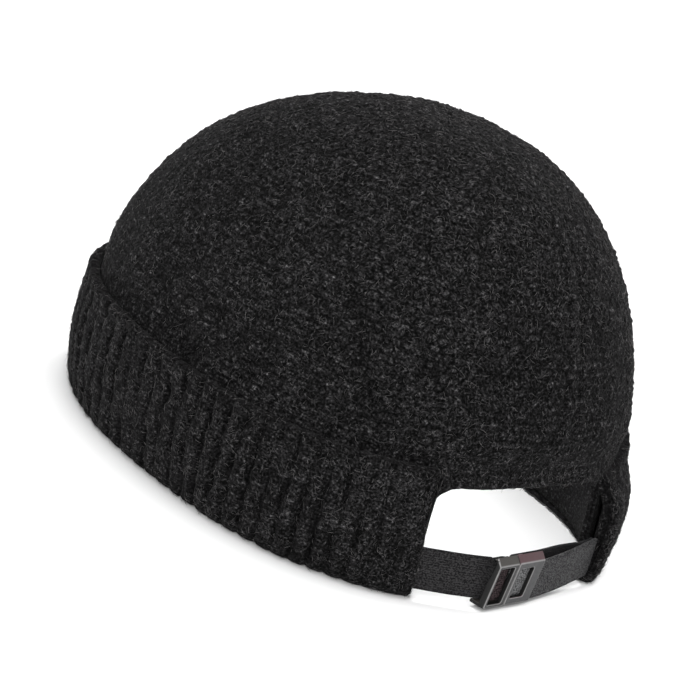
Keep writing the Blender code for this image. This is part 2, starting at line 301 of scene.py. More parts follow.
class Nodes:
    """The node tree of one material, and the ways to add to it."""

    def __init__(self, name: str) -> None:
        """Make an empty material with its shader.

        Args:
            name: The material's name.
        """
        self.material = bpy.data.materials.new(name)
        self.material.use_nodes = True
        self.tree = self.material.node_tree
        self.shader = self.tree.nodes["Principled BSDF"]

    def add(self, kind: str, settings: dict[str, Any], values: Any, output: int | str = 0) -> Any:
        """Add a node.

        Args:
            kind: The node's type.
            settings: Its properties, set first.
            values: Values or links of its sockets, in order or by name.
            output: The output wanted.

        Returns:
            The output socket.
        """
        node = self.tree.nodes.new(kind)
        for key, value in settings.items():
            setattr(node, key, value)
        pairs = values.items() if isinstance(values, dict) else enumerate(values)
        for key, value in pairs:
            self.feed(node.inputs[key], value)
        return node.outputs[output]

    def feed(self, socket: Any, value: Any) -> None:
        """Link or set one socket.

        Args:
            socket: The input.
            value: A number, a colour, a socket or a wrapped socket.
        """
        source = value.socket if isinstance(value, Value) else value
        if isinstance(source, bpy.types.NodeSocket):
            self.tree.links.new(source, socket)
        else:
            socket.default_value = source

    def place(self) -> Any:
        """Object coordinates."""
        return self.add("ShaderNodeTexCoord", {}, {}, "Object")

    def stretched(self, place: Any, turn: Triple, scale: Triple) -> Any:
        """Coordinates turned and scaled by a Mapping node."""
        return self.add("ShaderNodeMapping", {}, {"Vector": place, "Rotation": turn, "Scale": scale})

    def noise(self, place: Any, size: float, detail: float = 1.0) -> Value:
        """Noise from 0 to 1 whose lumps have about this size."""
        values = {"Vector": place, "Scale": 1 / size, "Detail": detail, "Roughness": 0.6}
        return Value(self, self.add("ShaderNodeTexNoise", {}, values, "Fac"))

    def attribute(self, name: str) -> Value:
        """A number stored on the mesh."""
        return Value(self, self.add("ShaderNodeAttribute", {"attribute_name": name}, {}, "Fac"))

    def split(self, vector: Any) -> list[Value]:
        """The three numbers of a vector.

        Args:
            vector: The vector's socket.

        Returns:
            The numbers.
        """
        node = self.tree.nodes.new("ShaderNodeSeparateXYZ")
        self.feed(node.inputs[0], vector)
        return [Value(self, output) for output in node.outputs]

    def marks(self) -> tuple[Value, Value]:
        """The two numbers of the pattern map."""
        along, across, _ = self.split(self.add("ShaderNodeUVMap", {"uv_map": "pattern"}, {}))
        return along, across

    def blend(self, share: Any, low: Any, high: Any) -> Any:
        """Mix two colours.

        Args:
            share: The second colour's share.
            low: The first, a plain colour or a socket.
            high: The second, likewise.

        Returns:
            The mixed colour's socket.
        """
        node = self.tree.nodes.new("ShaderNodeMix")
        node.data_type = "RGBA"
        self.feed(node.inputs["Factor"], share)
        for key, colour in ((6, low), (7, high)):
            self.feed(node.inputs[key], (*colour, 1.0) if isinstance(colour, tuple) else colour)
        return node.outputs[2]

    def bump(self, height: Value, depth: float, strength: float = 1.0) -> Any:
        """A bumped normal, from a height of 0 to 1 and its depth in metres."""
        values = {"Height": height, "Distance": depth, "Strength": strength}
        return self.add("ShaderNodeBump", {}, values, "Normal")

    def finish(self, values: dict[str, Any]) -> bpy.types.Material:
        """Feed the shader.

        Args:
            values: Values or links of the shader's sockets, by name.

        Returns:
            The material.
        """
        for key, value in values.items():
            self.feed(self.shader.inputs[key], value)
        return self.material


@dataclass(frozen=True)
class KnitYarn:
    """Fuzzy wool-blend knit with a grain of short fibres lying every way, and painted shade between the
    stitches and painted light on their tops.
    """

    name: str
    middle: float = 0.0083
    brightest: Triple = (0.160, 0.156, 0.160)
    darkest: Triple = (0.0003, 0.0003, 0.0003)
    grain: float = 0.00085
    fibre: float = 0.00075
    lump: float = 0.0095
    grain_contrast: float = 8.2
    fibre_contrast: float = 6.0
    relief_shade_contrast: float = 1.8
    lump_contrast: float = 0.8
    fibre_turns: tuple[Triple, ...] = ((0.6, 0.4, 0.9), (1.5, 0.9, 0.2), (0.3, 1.3, 1.9))
    fibre_stretch: Triple = (1.0, 0.26, 1.0)
    roughness: float = 0.96
    specular: float = 0.02
    sheen: float = 0.018
    sheen_roughness: float = 0.45
    bump_depth: float = 0.0006

    def material(self) -> bpy.types.Material:
        """Build the material.

        Returns:
            Yarn whose colour is its middle tone times e to a sum of noises and of the relief attribute, whose
            term paints shade into low relief and light onto high relief.
        """
        nodes = Nodes(self.name)
        place = nodes.place()
        relief = nodes.attribute("relief")
        grain = nodes.noise(place, self.grain, 3.0)
        stretched = [nodes.stretched(place, turn, self.fibre_stretch) for turn in self.fibre_turns]
        layers = [nodes.noise(way, self.fibre) for way in stretched]
        fibres = layers[0].over(layers[1]).over(layers[2])
        lump = nodes.noise(place, self.lump)
        tone = (
            (grain - 0.5) * self.grain_contrast
            + (fibres - 0.58) * self.fibre_contrast
            # painted shade and light: low relief (stitch valleys, crease, seam grooves, rib valleys) darkens
            # the yarn, high relief lightens it
            + (relief - 0.45) * self.relief_shade_contrast
            + (lump - 0.5) * self.lump_contrast
        )
        share = (tone.exp() * (self.middle / self.brightest[0])).held()
        return nodes.finish({
            "Base Color": nodes.blend(share, self.darkest, self.brightest),
            "Roughness": self.roughness,
            "Specular IOR Level": self.specular,
            "Sheen Weight": self.sheen,
            "Sheen Roughness": self.sheen_roughness,
            "Normal": nodes.bump(grain * 0.5 + fibres * 0.6, self.bump_depth),
        })


@dataclass(frozen=True)
class LooseFibre:
    """Stray fibres of the yarn, each a little lighter or darker than the next."""

    name: str
    dark: Triple = (0.006, 0.006, 0.006)
    light: Triple = (0.20, 0.19, 0.19)
    rareness: float = 3.4

    def material(self) -> bpy.types.Material:
        """Build the material.

        Returns:
            Fibre whose tone is the relief attribute.
        """
        nodes = Nodes(self.name)
        tone = nodes.attribute("relief")
        return nodes.finish({
            "Base Color": nodes.blend(tone**self.rareness, self.dark, self.light),
            "Roughness": 0.85,
            "Specular IOR Level": 0.05,
        })


@dataclass(frozen=True)
class WovenTape:
    """Dark webbing: fine lines along it crossed by a slanting weave, in another tone inside its frame, with
    painted shadow as it nears its frame and on its back layer beyond.
    """

    name: str
    deep: Triple
    thread: Triple
    held_deep: Triple
    held_thread: Triple
    line: float
    slant: float
    shade_length: float
    held_length: float
    edge: float = 0.0008
    tuck: float = 0.0022
    blur: float = 0.0004
    mouth_shadow_strength: float = 0.85
    bump_depth: float = 0.00022

    def material(self, width: float, mouth: float) -> bpy.types.Material:
        """Build the material.

        Args:
            width: The tape's width, across which the pattern map runs.
            mouth: Where the tape enters its frame, along it.

        Returns:
            Webbing whose weave follows the pattern map, along and across in metres.
        """
        nodes = Nodes(self.name)
        along, across = nodes.marks()
        place = nodes.place()
        fuzz = nodes.noise(place, 0.0006, 2.0)
        cloud = nodes.noise(place, 0.005, 1.0)
        lines = (across + (fuzz - 0.5) * 0.0003).wave(self.line)
        weave = (along + across * self.slant).wave(self.line * 1.7)
        from_edge = nodes.attribute("relief")
        border = ((from_edge * (width / 2) - self.edge) * (1 / 0.0002)).held()
        pattern = (lines * 0.72 + weave * 0.28) * border + (1 - border) * 0.15
        share = (pattern * 0.6 + (fuzz - 0.5) * 4.4 + 0.08 + cloud * 0.3).held()
        inside = mouth + self.tuck
        held = ((along - inside) * (1 / self.blur)).held()
        behind = ((along - mouth - self.held_length) * (1 / self.blur)).held()
        # Painted shadow: near climbs to 1 over the shade length as the tape nears its frame's mouth, and is 1
        # again past the held length, on the back layer behind the frame.
        near = ((1 - (inside - along) * (1 / self.shade_length)).held() * (1 - held)).over(behind)
        held = held - behind
        open_tone = nodes.blend(share * (1 - near * self.mouth_shadow_strength), self.deep, self.thread)
        held_tone = nodes.blend((share * 1.3 - 0.1).held(), self.held_deep, self.held_thread)
        return nodes.finish({
            "Base Color": nodes.blend(held, open_tone, held_tone),
            "Roughness": 0.8,
            "Specular IOR Level": 0.12,
            "Sheen Weight": 0.01,
            "Normal": nodes.bump(pattern * 0.8 + fuzz * 0.3, self.bump_depth),
        })


@dataclass(frozen=True)
class MouldedPlastic:
    """Black satin moulding with painted light: near black painted shade on its window walls, painted
    highlights on its edges, a painted top tone on upward faces and painted shade on its left-facing sides.
    """

    name: str
    # face is the moulding's own colour; top is a painted tone for upward faces, side painted shade for
    # left-facing faces, edge a painted highlight on the bevels and deep painted shade in the window.
    face: Triple
    top: Triple
    side: Triple
    edge: Triple
    deep: Triple = (0.004, 0.004, 0.004)

    def material(self) -> bpy.types.Material:
        """Build the material.

        Returns:
            Plastic whose tone follows the way its surface faces, as a painted top tone on upward faces and
            painted shade on left-facing ones, and its relief: painted shade where it is 0, deep in the
            window, and painted highlight where it is 1, at an edge.
        """
        nodes = Nodes(self.name)
        place = nodes.place()
        normal = nodes.add("ShaderNodeNewGeometry", {}, {}, "Normal")
        toward_left, _, toward_top = nodes.split(normal)
        # Painted light by facing: left-facing sides take the dark side tone as painted shade, upward faces
        # take the painted top tone.
        side_shade_share = ((toward_left - 0.5) * 4.0).held()
        upward = ((toward_top - 0.35) * 4.0).held()
        grain = nodes.noise(place, 0.0003, 2.0)
        wear_and_highlight = nodes.noise(place, 0.0016, 3.0)
        relief = nodes.attribute("relief")
        faded = nodes.blend((wear_and_highlight * 2.2 - 0.6).held(), tuple(c * 0.62 for c in self.face), self.face)
        sides = nodes.blend(side_shade_share, faded, self.side)
        painted_facing_light = nodes.blend(upward, sides, self.top)
        # Painted shade: where the relief is 0, on the window walls and the back, the tone falls to near
        # black.
        hollow = nodes.blend((relief * 2.5).held(), self.deep, painted_facing_light)
        return nodes.finish({
            # Painted highlight: where the relief passes 0.5, on the bevels, the tone rises to the pale edge
            # colour, broken up by the noise.
            "Base Color": nodes.blend(((relief * 2 - 1) * (wear_and_highlight * 0.8 + 0.6)).held(), hollow, self.edge),
            "Roughness": wear_and_highlight * 0.25 + 0.45,
            "Specular IOR Level": 0.2,
            "Normal": nodes.bump(grain, 0.00003, 0.6),
        })


@dataclass(frozen=True)
class PaleFloor:
    """The plain pale floor."""

    colour: Triple = (0.86, 0.86, 0.86)

    def material(self) -> bpy.types.Material:
        """Build the floor's plain matt material."""
        values = {"Base Color": (*self.colour, 1.0), "Roughness": 0.9, "Specular IOR Level": 0.1}
        return Nodes("pale_floor").finish(values)


TAPES = {
    Side.LEFT: WovenTape(
        name="tape_left",
        deep=(0.0007, 0.0007, 0.0009),
        thread=(0.028, 0.027, 0.028),
        held_deep=(0.002, 0.0015, 0.0018),
        held_thread=(0.050, 0.034, 0.037),
        line=0.00080,
        slant=0.9,
        shade_length=0.0065,
        held_length=0.0084,
    ),
    Side.RIGHT: WovenTape(
        name="tape_right",
        deep=(0.004, 0.004, 0.0045),
        thread=(0.070, 0.069, 0.071),
        held_deep=(0.03, 0.03, 0.03),
        held_thread=(0.20, 0.20, 0.205),
        line=0.00070,
        slant=-0.6,
        shade_length=0.0035,
        held_length=0.0116,
    ),
}

# Per frame, top is a painted tone for upward faces, side painted shade for left-facing faces and edge a
# painted highlight on the bevels.
PLASTICS = {
    Side.LEFT: MouldedPlastic(
        name="plastic_left",
        face=(0.048, 0.048, 0.049),
        top=(0.042, 0.039, 0.036),
        side=(0.010, 0.010, 0.010),
        edge=(0.19, 0.186, 0.186),
    ),
    Side.RIGHT: MouldedPlastic(
        name="plastic_right",
        face=(0.074, 0.074, 0.076),
        top=(0.068, 0.038, 0.042),
        side=(0.013, 0.013, 0.013),
        edge=(0.20, 0.196, 0.196),
    ),
}


@dataclass(frozen=True)
class Quarter:
    """How the dome rises and the cuff flares on one side of the head."""

    rise: float
    reach: float
    flare: float


@dataclass(frozen=True)
class HeadForm:
    """The shape that crown and cuff share, as functions of the angle round the head and the height."""

    crown_height: float = 0.1405
    side_reach: float = 0.0832
    front_reach: float = 0.1115
    back_reach: float = 0.1065
    apex_setback: float = 0.0170
    tuck_rise: float = 0.0130
    half_width: float = 0.0845
    half_length: float = 0.1082
    cuff_height: float = 0.0455
    cuff_thickness: float = 0.0050
    clearance: float = 0.0003
    band_relief: float = 0.0020
    opening_half_width: float = 0.0444
    opening_shift: float = 0.0019
    set_back: float = 0.00038
    power: float = 2.35
    egg: float = 0.08
    front: Quarter = Quarter(3.47, 1.80, 0.029)
    side: Quarter = Quarter(2.25, 2.14, 0.105)
    back: Quarter = Quarter(2.25, 2.28, -0.119)

    def mixed(self, name: str, theta: Array) -> Array:
        """A quarter's number: front and back count by the square of the sine, the sides by the rest.

        Args:
            name: The number's name.
            theta: Angles round the head.

        Returns:
            The number at each angle.
        """
        back = np.clip(np.sin(theta), 0, 1) ** 2
        front = np.clip(-np.sin(theta), 0, 1) ** 2
        ahead, beside, behind = (getattr(q, name) for q in (self.front, self.side, self.back))
        return front * ahead + back * behind + (1 - front - back) * beside

    def plan(self, theta: Array, half_x: Array, half_y: Array) -> tuple[Array, Array]:
        """A rounded head plan: cosine and sine over the power mean of both, times each half size.

        Args:
            theta: Angles round the head.
            half_x: Half widths.
            half_y: Half lengths.

        Returns:
            Places across and along.
        """
        mean = np.abs(np.cos(theta)) ** self.power + np.abs(np.sin(theta)) ** self.power
        radius = mean ** (-1 / self.power)
        return half_x * radius * np.cos(theta), half_y * radius * np.sin(theta)

    def cuff_point(self, theta: Array, height: Array, inset: Array) -> tuple[Array, Array]:
        """The cuff's face: the plan grown by flare times height less the inset, a little egg-shaped.

        Args:
            theta: Angles round the head.
            height: Heights.
            inset: Depths behind the face.

        Returns:
            Places across and along.
        """
        grow = self.mixed("flare", theta) * height - inset
        x, y = self.plan(theta, self.half_width + grow, self.half_length + grow)
        return x * (1 + self.egg * y / self.half_length), y

    def dome_point(self, theta: Array, height: Array) -> tuple[Array, Array]:
        """The dome: the plan shrunk by (1 - share of height to the rise) to the power of one over the reach.

        Args:
            theta: Angles round the head.
            height: Heights.

        Returns:
            Places across and along.
        """
        share = height / self.crown_height
        shrink = np.maximum(1 - share ** self.mixed("rise", theta), 0) ** (1 / self.mixed("reach", theta))
        half_y = np.where(np.sin(theta) < 0, self.front_reach, self.back_reach)
        x, y = self.plan(theta, self.side_reach, half_y)
        x = shrink * x * (1 + self.egg * y / self.half_length * (1 - share))
        return x, shrink * y + self.apex_setback * share**2

    def end_angle(self, side: Side) -> float:
        """The angle of the cuff's end on one side.

        Args:
            side: The wearer's left or right.

        Returns:
            The angle where the cuff's face at mid height has the opening's half width.
        """
        theta = np.linspace(0, math.pi / 2, 4000)
        x, _ = self.cuff_point(theta, self.cuff_height / 2, 0.0)
        half_width = self.opening_half_width + side.value * self.opening_shift
        angle = float(np.interp(-half_width, -x, theta))
        return angle if side is Side.LEFT else math.pi - angle

    def crown_point(self, theta: Array, height: Array) -> tuple[Array, Array]:
        """The crown's face: the dome, and inside the cuff the smaller of the dome and the cuff's inner face.

        Args:
            theta: Angles round the head.
            height: Heights.

        Returns:
            Places across and along.
        """
        left, right = self.end_angle(Side.LEFT), self.end_angle(Side.RIGHT)
        half = (right - left) / 2
        from_middle = np.abs(np.mod(theta, TURN) - (left + right) / 2)
        proud = self.band_relief * smooth_step((half - from_middle) / (half / 2))
        dome_x, dome_y = self.dome_point(theta, height)
        inset = self.cuff_thickness + self.clearance - proud
        cuff_x, cuff_y = self.cuff_point(theta, np.minimum(height, self.cuff_height), inset)
        inner_x = np.copysign(np.minimum(np.abs(dome_x), np.abs(cuff_x)), dome_x)
        inner_y = np.copysign(np.minimum(np.abs(dome_y), np.abs(cuff_y)), dome_y)
        free = smooth_step((height - self.cuff_height) / self.tuck_rise)
        return inner_x + (dome_x - inner_x) * free, inner_y + (dome_y - inner_y) * free


def dress(
    piece: bpy.types.Object, look: bpy.types.Material, stands_for: tuple[str, ...] = ()
) -> None:
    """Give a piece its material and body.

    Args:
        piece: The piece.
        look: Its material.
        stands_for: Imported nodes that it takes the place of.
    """
    piece.data.materials.append(look)
    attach(piece, "root")
    if stands_for:
        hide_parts(*stands_for)
    log.info("%s: %d vertices, %d faces", piece.name, len(piece.data.vertices), len(piece.data.polygons))


@dataclass
class Crown:
    """The hollow crown in moss stitch, with its back seam, its crease and the band over the opening."""

    form: HeadForm
    wall: float = 0.0030
    rim: float = 0.0037
    join: float = 0.0446
    columns: int = 560
    row_pitch: float = 0.00094
    band_rows: int = 9
    stitch_width: float = 0.0034
    stitch_height: float = 0.0031
    stitch_depth: float = 0.00095
    zone_rows: int = 8
    opening_height: float = 0.0378
    opening_arch: float = 0.0026
    corner: float = 0.0100
    band_top: float = 0.0475
    band_rib: float = 0.0044
    row_waver: Hills = Hills(0.30, 0.0075, 90, 11)
    column_waver: Hills = Hills(0.28, 0.006, 100, 12)
    tufts: Hills = Hills(0.22, 0.0017, 340, 13)
    hill: Hills = Hills(0.00025, 0.016, 34, 21)
    swell: Hills = Hills(0.00030, 0.034, 15, 22)
    sizes: tuple[int, int] = (80, 257)
    smallest: float = 0.30
    seam_height: float = 0.0006
    seam_ridge: float = 0.0017
    seam_groove: float = 0.0011
    seam_spread: float = 0.0032
    apex_fade: float = 0.006
    crease_depth: float = 0.0013
    crease_width: float = 0.0030
    crease_heights: tuple[float, ...] = (0.050, 0.0574, 0.0674, 0.0812, 0.0946, 0.105)
    crease_degrees: tuple[float, ...] = (41, 40.4, 37.6, 32.1, 26.9, 24)
    edge_inset: float = 0.0009

    def __post_init__(self) -> None:
        """Measure the meridian and set out the columns."""
        ease = np.linspace(0, 1, 3000)
        heights = self.form.crown_height * (1 - (1 - ease) ** 3)
        heights = np.unique(np.concatenate([heights, [self.form.crown_height]]))
        theta = np.linspace(0, TURN, 24, endpoint=False)
        grid_theta, grid_height = np.meshgrid(theta, heights)
        x, y = self.form.crown_point(grid_theta, grid_height)
        steps = np.sqrt(np.diff(x, axis=0) ** 2 + np.diff(y, axis=0) ** 2 + np.diff(grid_height, axis=0) ** 2)
        self.heights = heights
        self.walked = np.concatenate([[0], np.cumsum(steps.mean(axis=1))])
        around = np.hypot(np.diff(x, axis=1, append=x[:, :1]), np.diff(y, axis=1, append=y[:, :1]))
        self.girths = around.sum(axis=1)
        self.left = self.form.end_angle(Side.LEFT)
        self.right = self.form.end_angle(Side.RIGHT)
        fine = np.linspace(math.pi / 2, math.pi / 2 + TURN, 6000)
        x, y = self.form.crown_point(fine, np.full_like(fine, self.form.cuff_height + self.form.tuck_rise))
        self.fine = fine
        self.share = walked_along(x, y)
        self.share /= self.share[-1]
        density = np.ones_like(fine)
        for angle in (self.left + TURN, self.right):
            density += 2.2 * groove(fine - angle, 0.035)
        spaced = np.concatenate([[0], np.cumsum((density[1:] + density[:-1]) / 2)])
        self.theta = np.interp(np.linspace(0, spaced[-1], self.columns + 1), spaced, fine)

    def walk(self, height: Array) -> Array:
        """Distance along the meridian at a height."""
        return np.interp(height, self.heights, self.walked)

    def surface(self, theta: Array, walked: Array) -> Array:
        """The plain outer face.

        Args:
            theta: Angles round the head.
            walked: Distances along the meridian.

        Returns:
            Points.
        """
        height = np.interp(walked, self.walked, self.heights)
        x, y = self.form.crown_point(theta, height)
        return np.stack([x, y + self.form.set_back, height + 0.0 * x], axis=-1)

    def normal(self, theta: Array, walked: Array) -> Array:
        """Outward directions: the cross product of the steps round and up, from small differences.

        Args:
            theta: Angles round the head.
            walked: Distances along the meridian.

        Returns:
            Unit vectors.
        """
        top = self.walked[-1] - 1e-4
        held = np.minimum(walked, top - 4e-4)
        round_way = self.surface(theta + 2e-3, held) - self.surface(theta - 2e-3, held)
        up_way = self.surface(theta, held + 4e-4) - self.surface(theta, np.maximum(held - 4e-4, 0))
        cross = np.cross(round_way, up_way)
        return cross / np.maximum(np.linalg.norm(cross, axis=-1, keepdims=True), 1e-12)

    def stitches_round(self, walked: float) -> int:
        """An even number of stitches round the crown, kept for a few rows and then fewer.

        Args:
            walked: Distance along the meridian.

        Returns:
            The number of stitches there.
        """
        zone = self.zone_rows * self.stitch_height
        middle = (math.floor(walked / zone) + 0.5) * zone
        girth = float(np.interp(middle, self.walked, self.girths))
        return max(6, 2 * round(girth / self.stitch_width / 2))

    def moss(self, share: Array, walked: Array, stitches: int) -> tuple[Array, Array]:
        """Moss stitch: the product of two cosine arches, offset by half a stitch in every other row.

        Args:
            share: Shares of the way round.
            walked: Distances along the meridian.
            stitches: Stitches round the crown at these points.

        Returns:
            Heights of the stitches, and the size that each stitch has of its own.
        """
        row = walked / self.stitch_height + self.row_waver.at(share, walked)
        column = share * stitches + 0.5 * (np.floor(row) % 2) + self.column_waver.at(share, walked)
        rows, columns = self.sizes
        own = np.random.default_rng(5).uniform(self.smallest, 1.0, self.sizes)
        size = own[np.floor(row).astype(int) % rows, np.floor(column).astype(int) % columns]
        return arch(column) ** 0.7 * arch(row) * size + self.tufts.at(share, walked), size

    def crease(self, theta: Array, height: Array) -> Array:
        """The crease: a bell across a leaning line, which fades at both ends.

        Args:
            theta: Angles round the head.
            height: Heights.

        Returns:
            Shares of the crease's depth.
        """
        line = np.interp(height, self.crease_heights, np.radians(self.crease_degrees))
        across = (np.mod(theta, TURN) - line) * 0.085
        fade = smooth_step((height - 0.050) / 0.010) * smooth_step((0.100 - height) / 0.030)
        return fade * groove(across, self.crease_width)

    def relief(self, theta: Array, walked: Array, stitches: int) -> tuple[Array, Array]:
        """How far each point stands off the plain face, and how far up its stitch it is, as a share that
        paints shade and light into the yarn's colour.

        Over the opening the stitches give way to slanting ribs. The seam is a ridge between two grooves.

        Args:
            theta: Angles round the head.
            walked: Distances along the meridian.
            stitches: Stitches round the crown at these points.

        Returns:
            Offsets in metres, and shares from 0 to 1 for painted shade: low in stitch valleys, the crease and
            the seam's grooves, high on stitch tops and the seam's ridge.
        """
        share = np.interp(theta, self.fine, self.share)
        height = np.interp(walked, self.walked, self.heights)
        stitch, size = self.moss(share, walked, stitches)
        from_seam = (np.mod(share + 0.5, 1) - 0.5) * np.interp(walked, self.walked, self.girths)
        in_band = smooth_step((self.band_top - height) / 0.002)
        slant = from_seam / self.band_rib + (height - self.opening_height) / 0.012
        rib = (0.5 + 0.5 * np.cos(TURN * slant)) ** 0.6 * (0.75 + 0.25 * size)
        stitch = stitch * (1 - in_band) + (0.55 * rib + 0.35 * stitch) * in_band
        fade = smooth_step((self.form.crown_height - height) / 0.03)
        beside = groove(np.abs(from_seam) - self.seam_spread, self.seam_groove)
        seam = fade * (0.55 * groove(from_seam, self.seam_ridge) - 0.5 * beside)
        crease = self.crease(theta, height)
        broad = self.hill.at(share, walked) + self.swell.at(share, walked)
        offset = self.stitch_depth * (stitch - 0.62) + broad
        offset = offset + seam * self.seam_height - crease * self.crease_depth
        crowded = smooth_step((self.walked[-1] - walked) / self.apex_fade)
        # Painted shade and light: stitch tops and the seam's ridge lighten the yarn, the crease and the
        # seam's grooves darken it.
        shade = np.clip(stitch + 0.25 * seam - 0.35 * crease, 0, 0.85)
        return offset * crowded, shade * crowded + 0.5 * (1 - crowded)

    def bottom(self, theta: Array) -> Array:
        """The crown's lower edge: the rim, or the opening's arched top with its round corners.

        Args:
            theta: Angles round the head.

        Returns:
            Heights.
        """
        across = (np.mod(theta, TURN) - self.left) / (self.right - self.left)
        from_wall = np.minimum(across, 1 - across) * 2 * self.form.opening_half_width
        inside = 1 - np.clip(from_wall / self.corner, 0, 1)
        round_corner = self.corner * (1 - np.sqrt(np.maximum(1 - inside**2, 0)))
        arch = self.opening_arch * (1 - (2 * across - 1) ** 2)
        return np.where(from_wall > 0, self.opening_height + arch - round_corner, self.rim)

    def marks_round(self, step: int) -> Array:
        """The share of the way round at every column and at the closing one."""
        return np.interp(self.theta[::step], self.fine, self.share)

    def rows(self) -> list[Array]:
        """Rows of the outer face: some ease from the lower edge, then even ones with fewer points above.

        Returns:
            Each row's distances along the meridian.
        """
        bottom = self.bottom(self.theta[:-1])
        eased = np.linspace(0, 1, self.band_rows + 1)[:-1]
        rows = [self.walk(bottom + share * (self.join - bottom)) for share in eased]
        start, end = float(self.walk(self.join)), self.walked[-1]
        first_girth = float(np.interp(start, self.walked, self.girths))
        for walked in np.linspace(start, end, round((end - start) / self.row_pitch) + 1)[:-1]:
            girth = float(np.interp(walked, self.walked, self.girths))
            halvings = min(3, int(math.log2(max(1.0, 0.93 * first_girth / max(girth, 1e-6)))))
            rows.append(np.full(self.columns // 2**halvings, walked))
        return rows

    def build(self) -> bpy.types.Object:
        """Build the crown.

        Returns:
            One closed piece: the outer face ring by ring to the apex and the inner face, joined at the rim.
        """
        skin = Skin()
        outer, inner = [], []
        for number, walked in enumerate(self.rows()):
            step = self.columns // len(walked)
            theta = self.theta[:-1:step]
            marks = np.column_stack([self.marks_round(step), np.append(walked, walked[:1])])
            zone = float(np.median(walked))
            offset, relief = self.relief(theta, walked, self.stitches_round(zone))
            if number < self.band_rows:
                offset = offset - self.edge_inset * max(0.0, 1 - number / 2)
            face = self.surface(theta, walked) + self.normal(theta, walked) * offset[:, None]
            outer.append((skin.ring(face, marks, relief), zone))
            if number % 5 == 0 or (number < self.band_rows and number % 4 == 0):
                inner.append((theta, walked, marks))
        for (low, _), (high, zone) in zip(outer, outer[1:]):
            skin.join(low, high, (self.stitches_round(zone), 1 / self.stitch_height))
        skin.cap(outer[-1][0])
        self.inside(skin, outer[0][0], inner)
        return skin.make("crown_knit")

    def inside(self, skin: Skin, rim: int, rows: list[tuple[Array, Array, Array]]) -> None:
        """Add the inner face, from a lip under the outer face's lower edge to the apex.

        Args:
            skin: The mesh so far.
            rim: The outer face's first ring.
            rows: Angles, distances along the meridian and marks of the inner rings.
        """
        theta, walked, marks = rows[0]
        lip = self.surface(theta, walked) - self.normal(theta, walked) * (self.wall * 0.5)
        lip[:, 2] -= 0.0002
        previous = skin.ring(lip, marks, 0.3)
        skin.join(previous, rim)
        for number, (theta, walked, marks) in enumerate(rows):
            if len(theta) > self.columns // 4 and number > 0:
                theta, walked, marks = theta[::2], walked[::2], marks[::2]
            depth = np.minimum(self.wall, 0.6 * (self.walked[-1] - walked) + 0.0005)[:, None]
            depth = np.maximum(depth, self.wall * 0.9)
            face = self.surface(theta, walked) - self.normal(theta, walked) * depth
            ring = skin.ring(face, marks, 0.25)
            skin.join(previous, ring, (120, 1 / self.stitch_height), flip=True)
            previous = ring
        skin.cap(previous, flip=True)


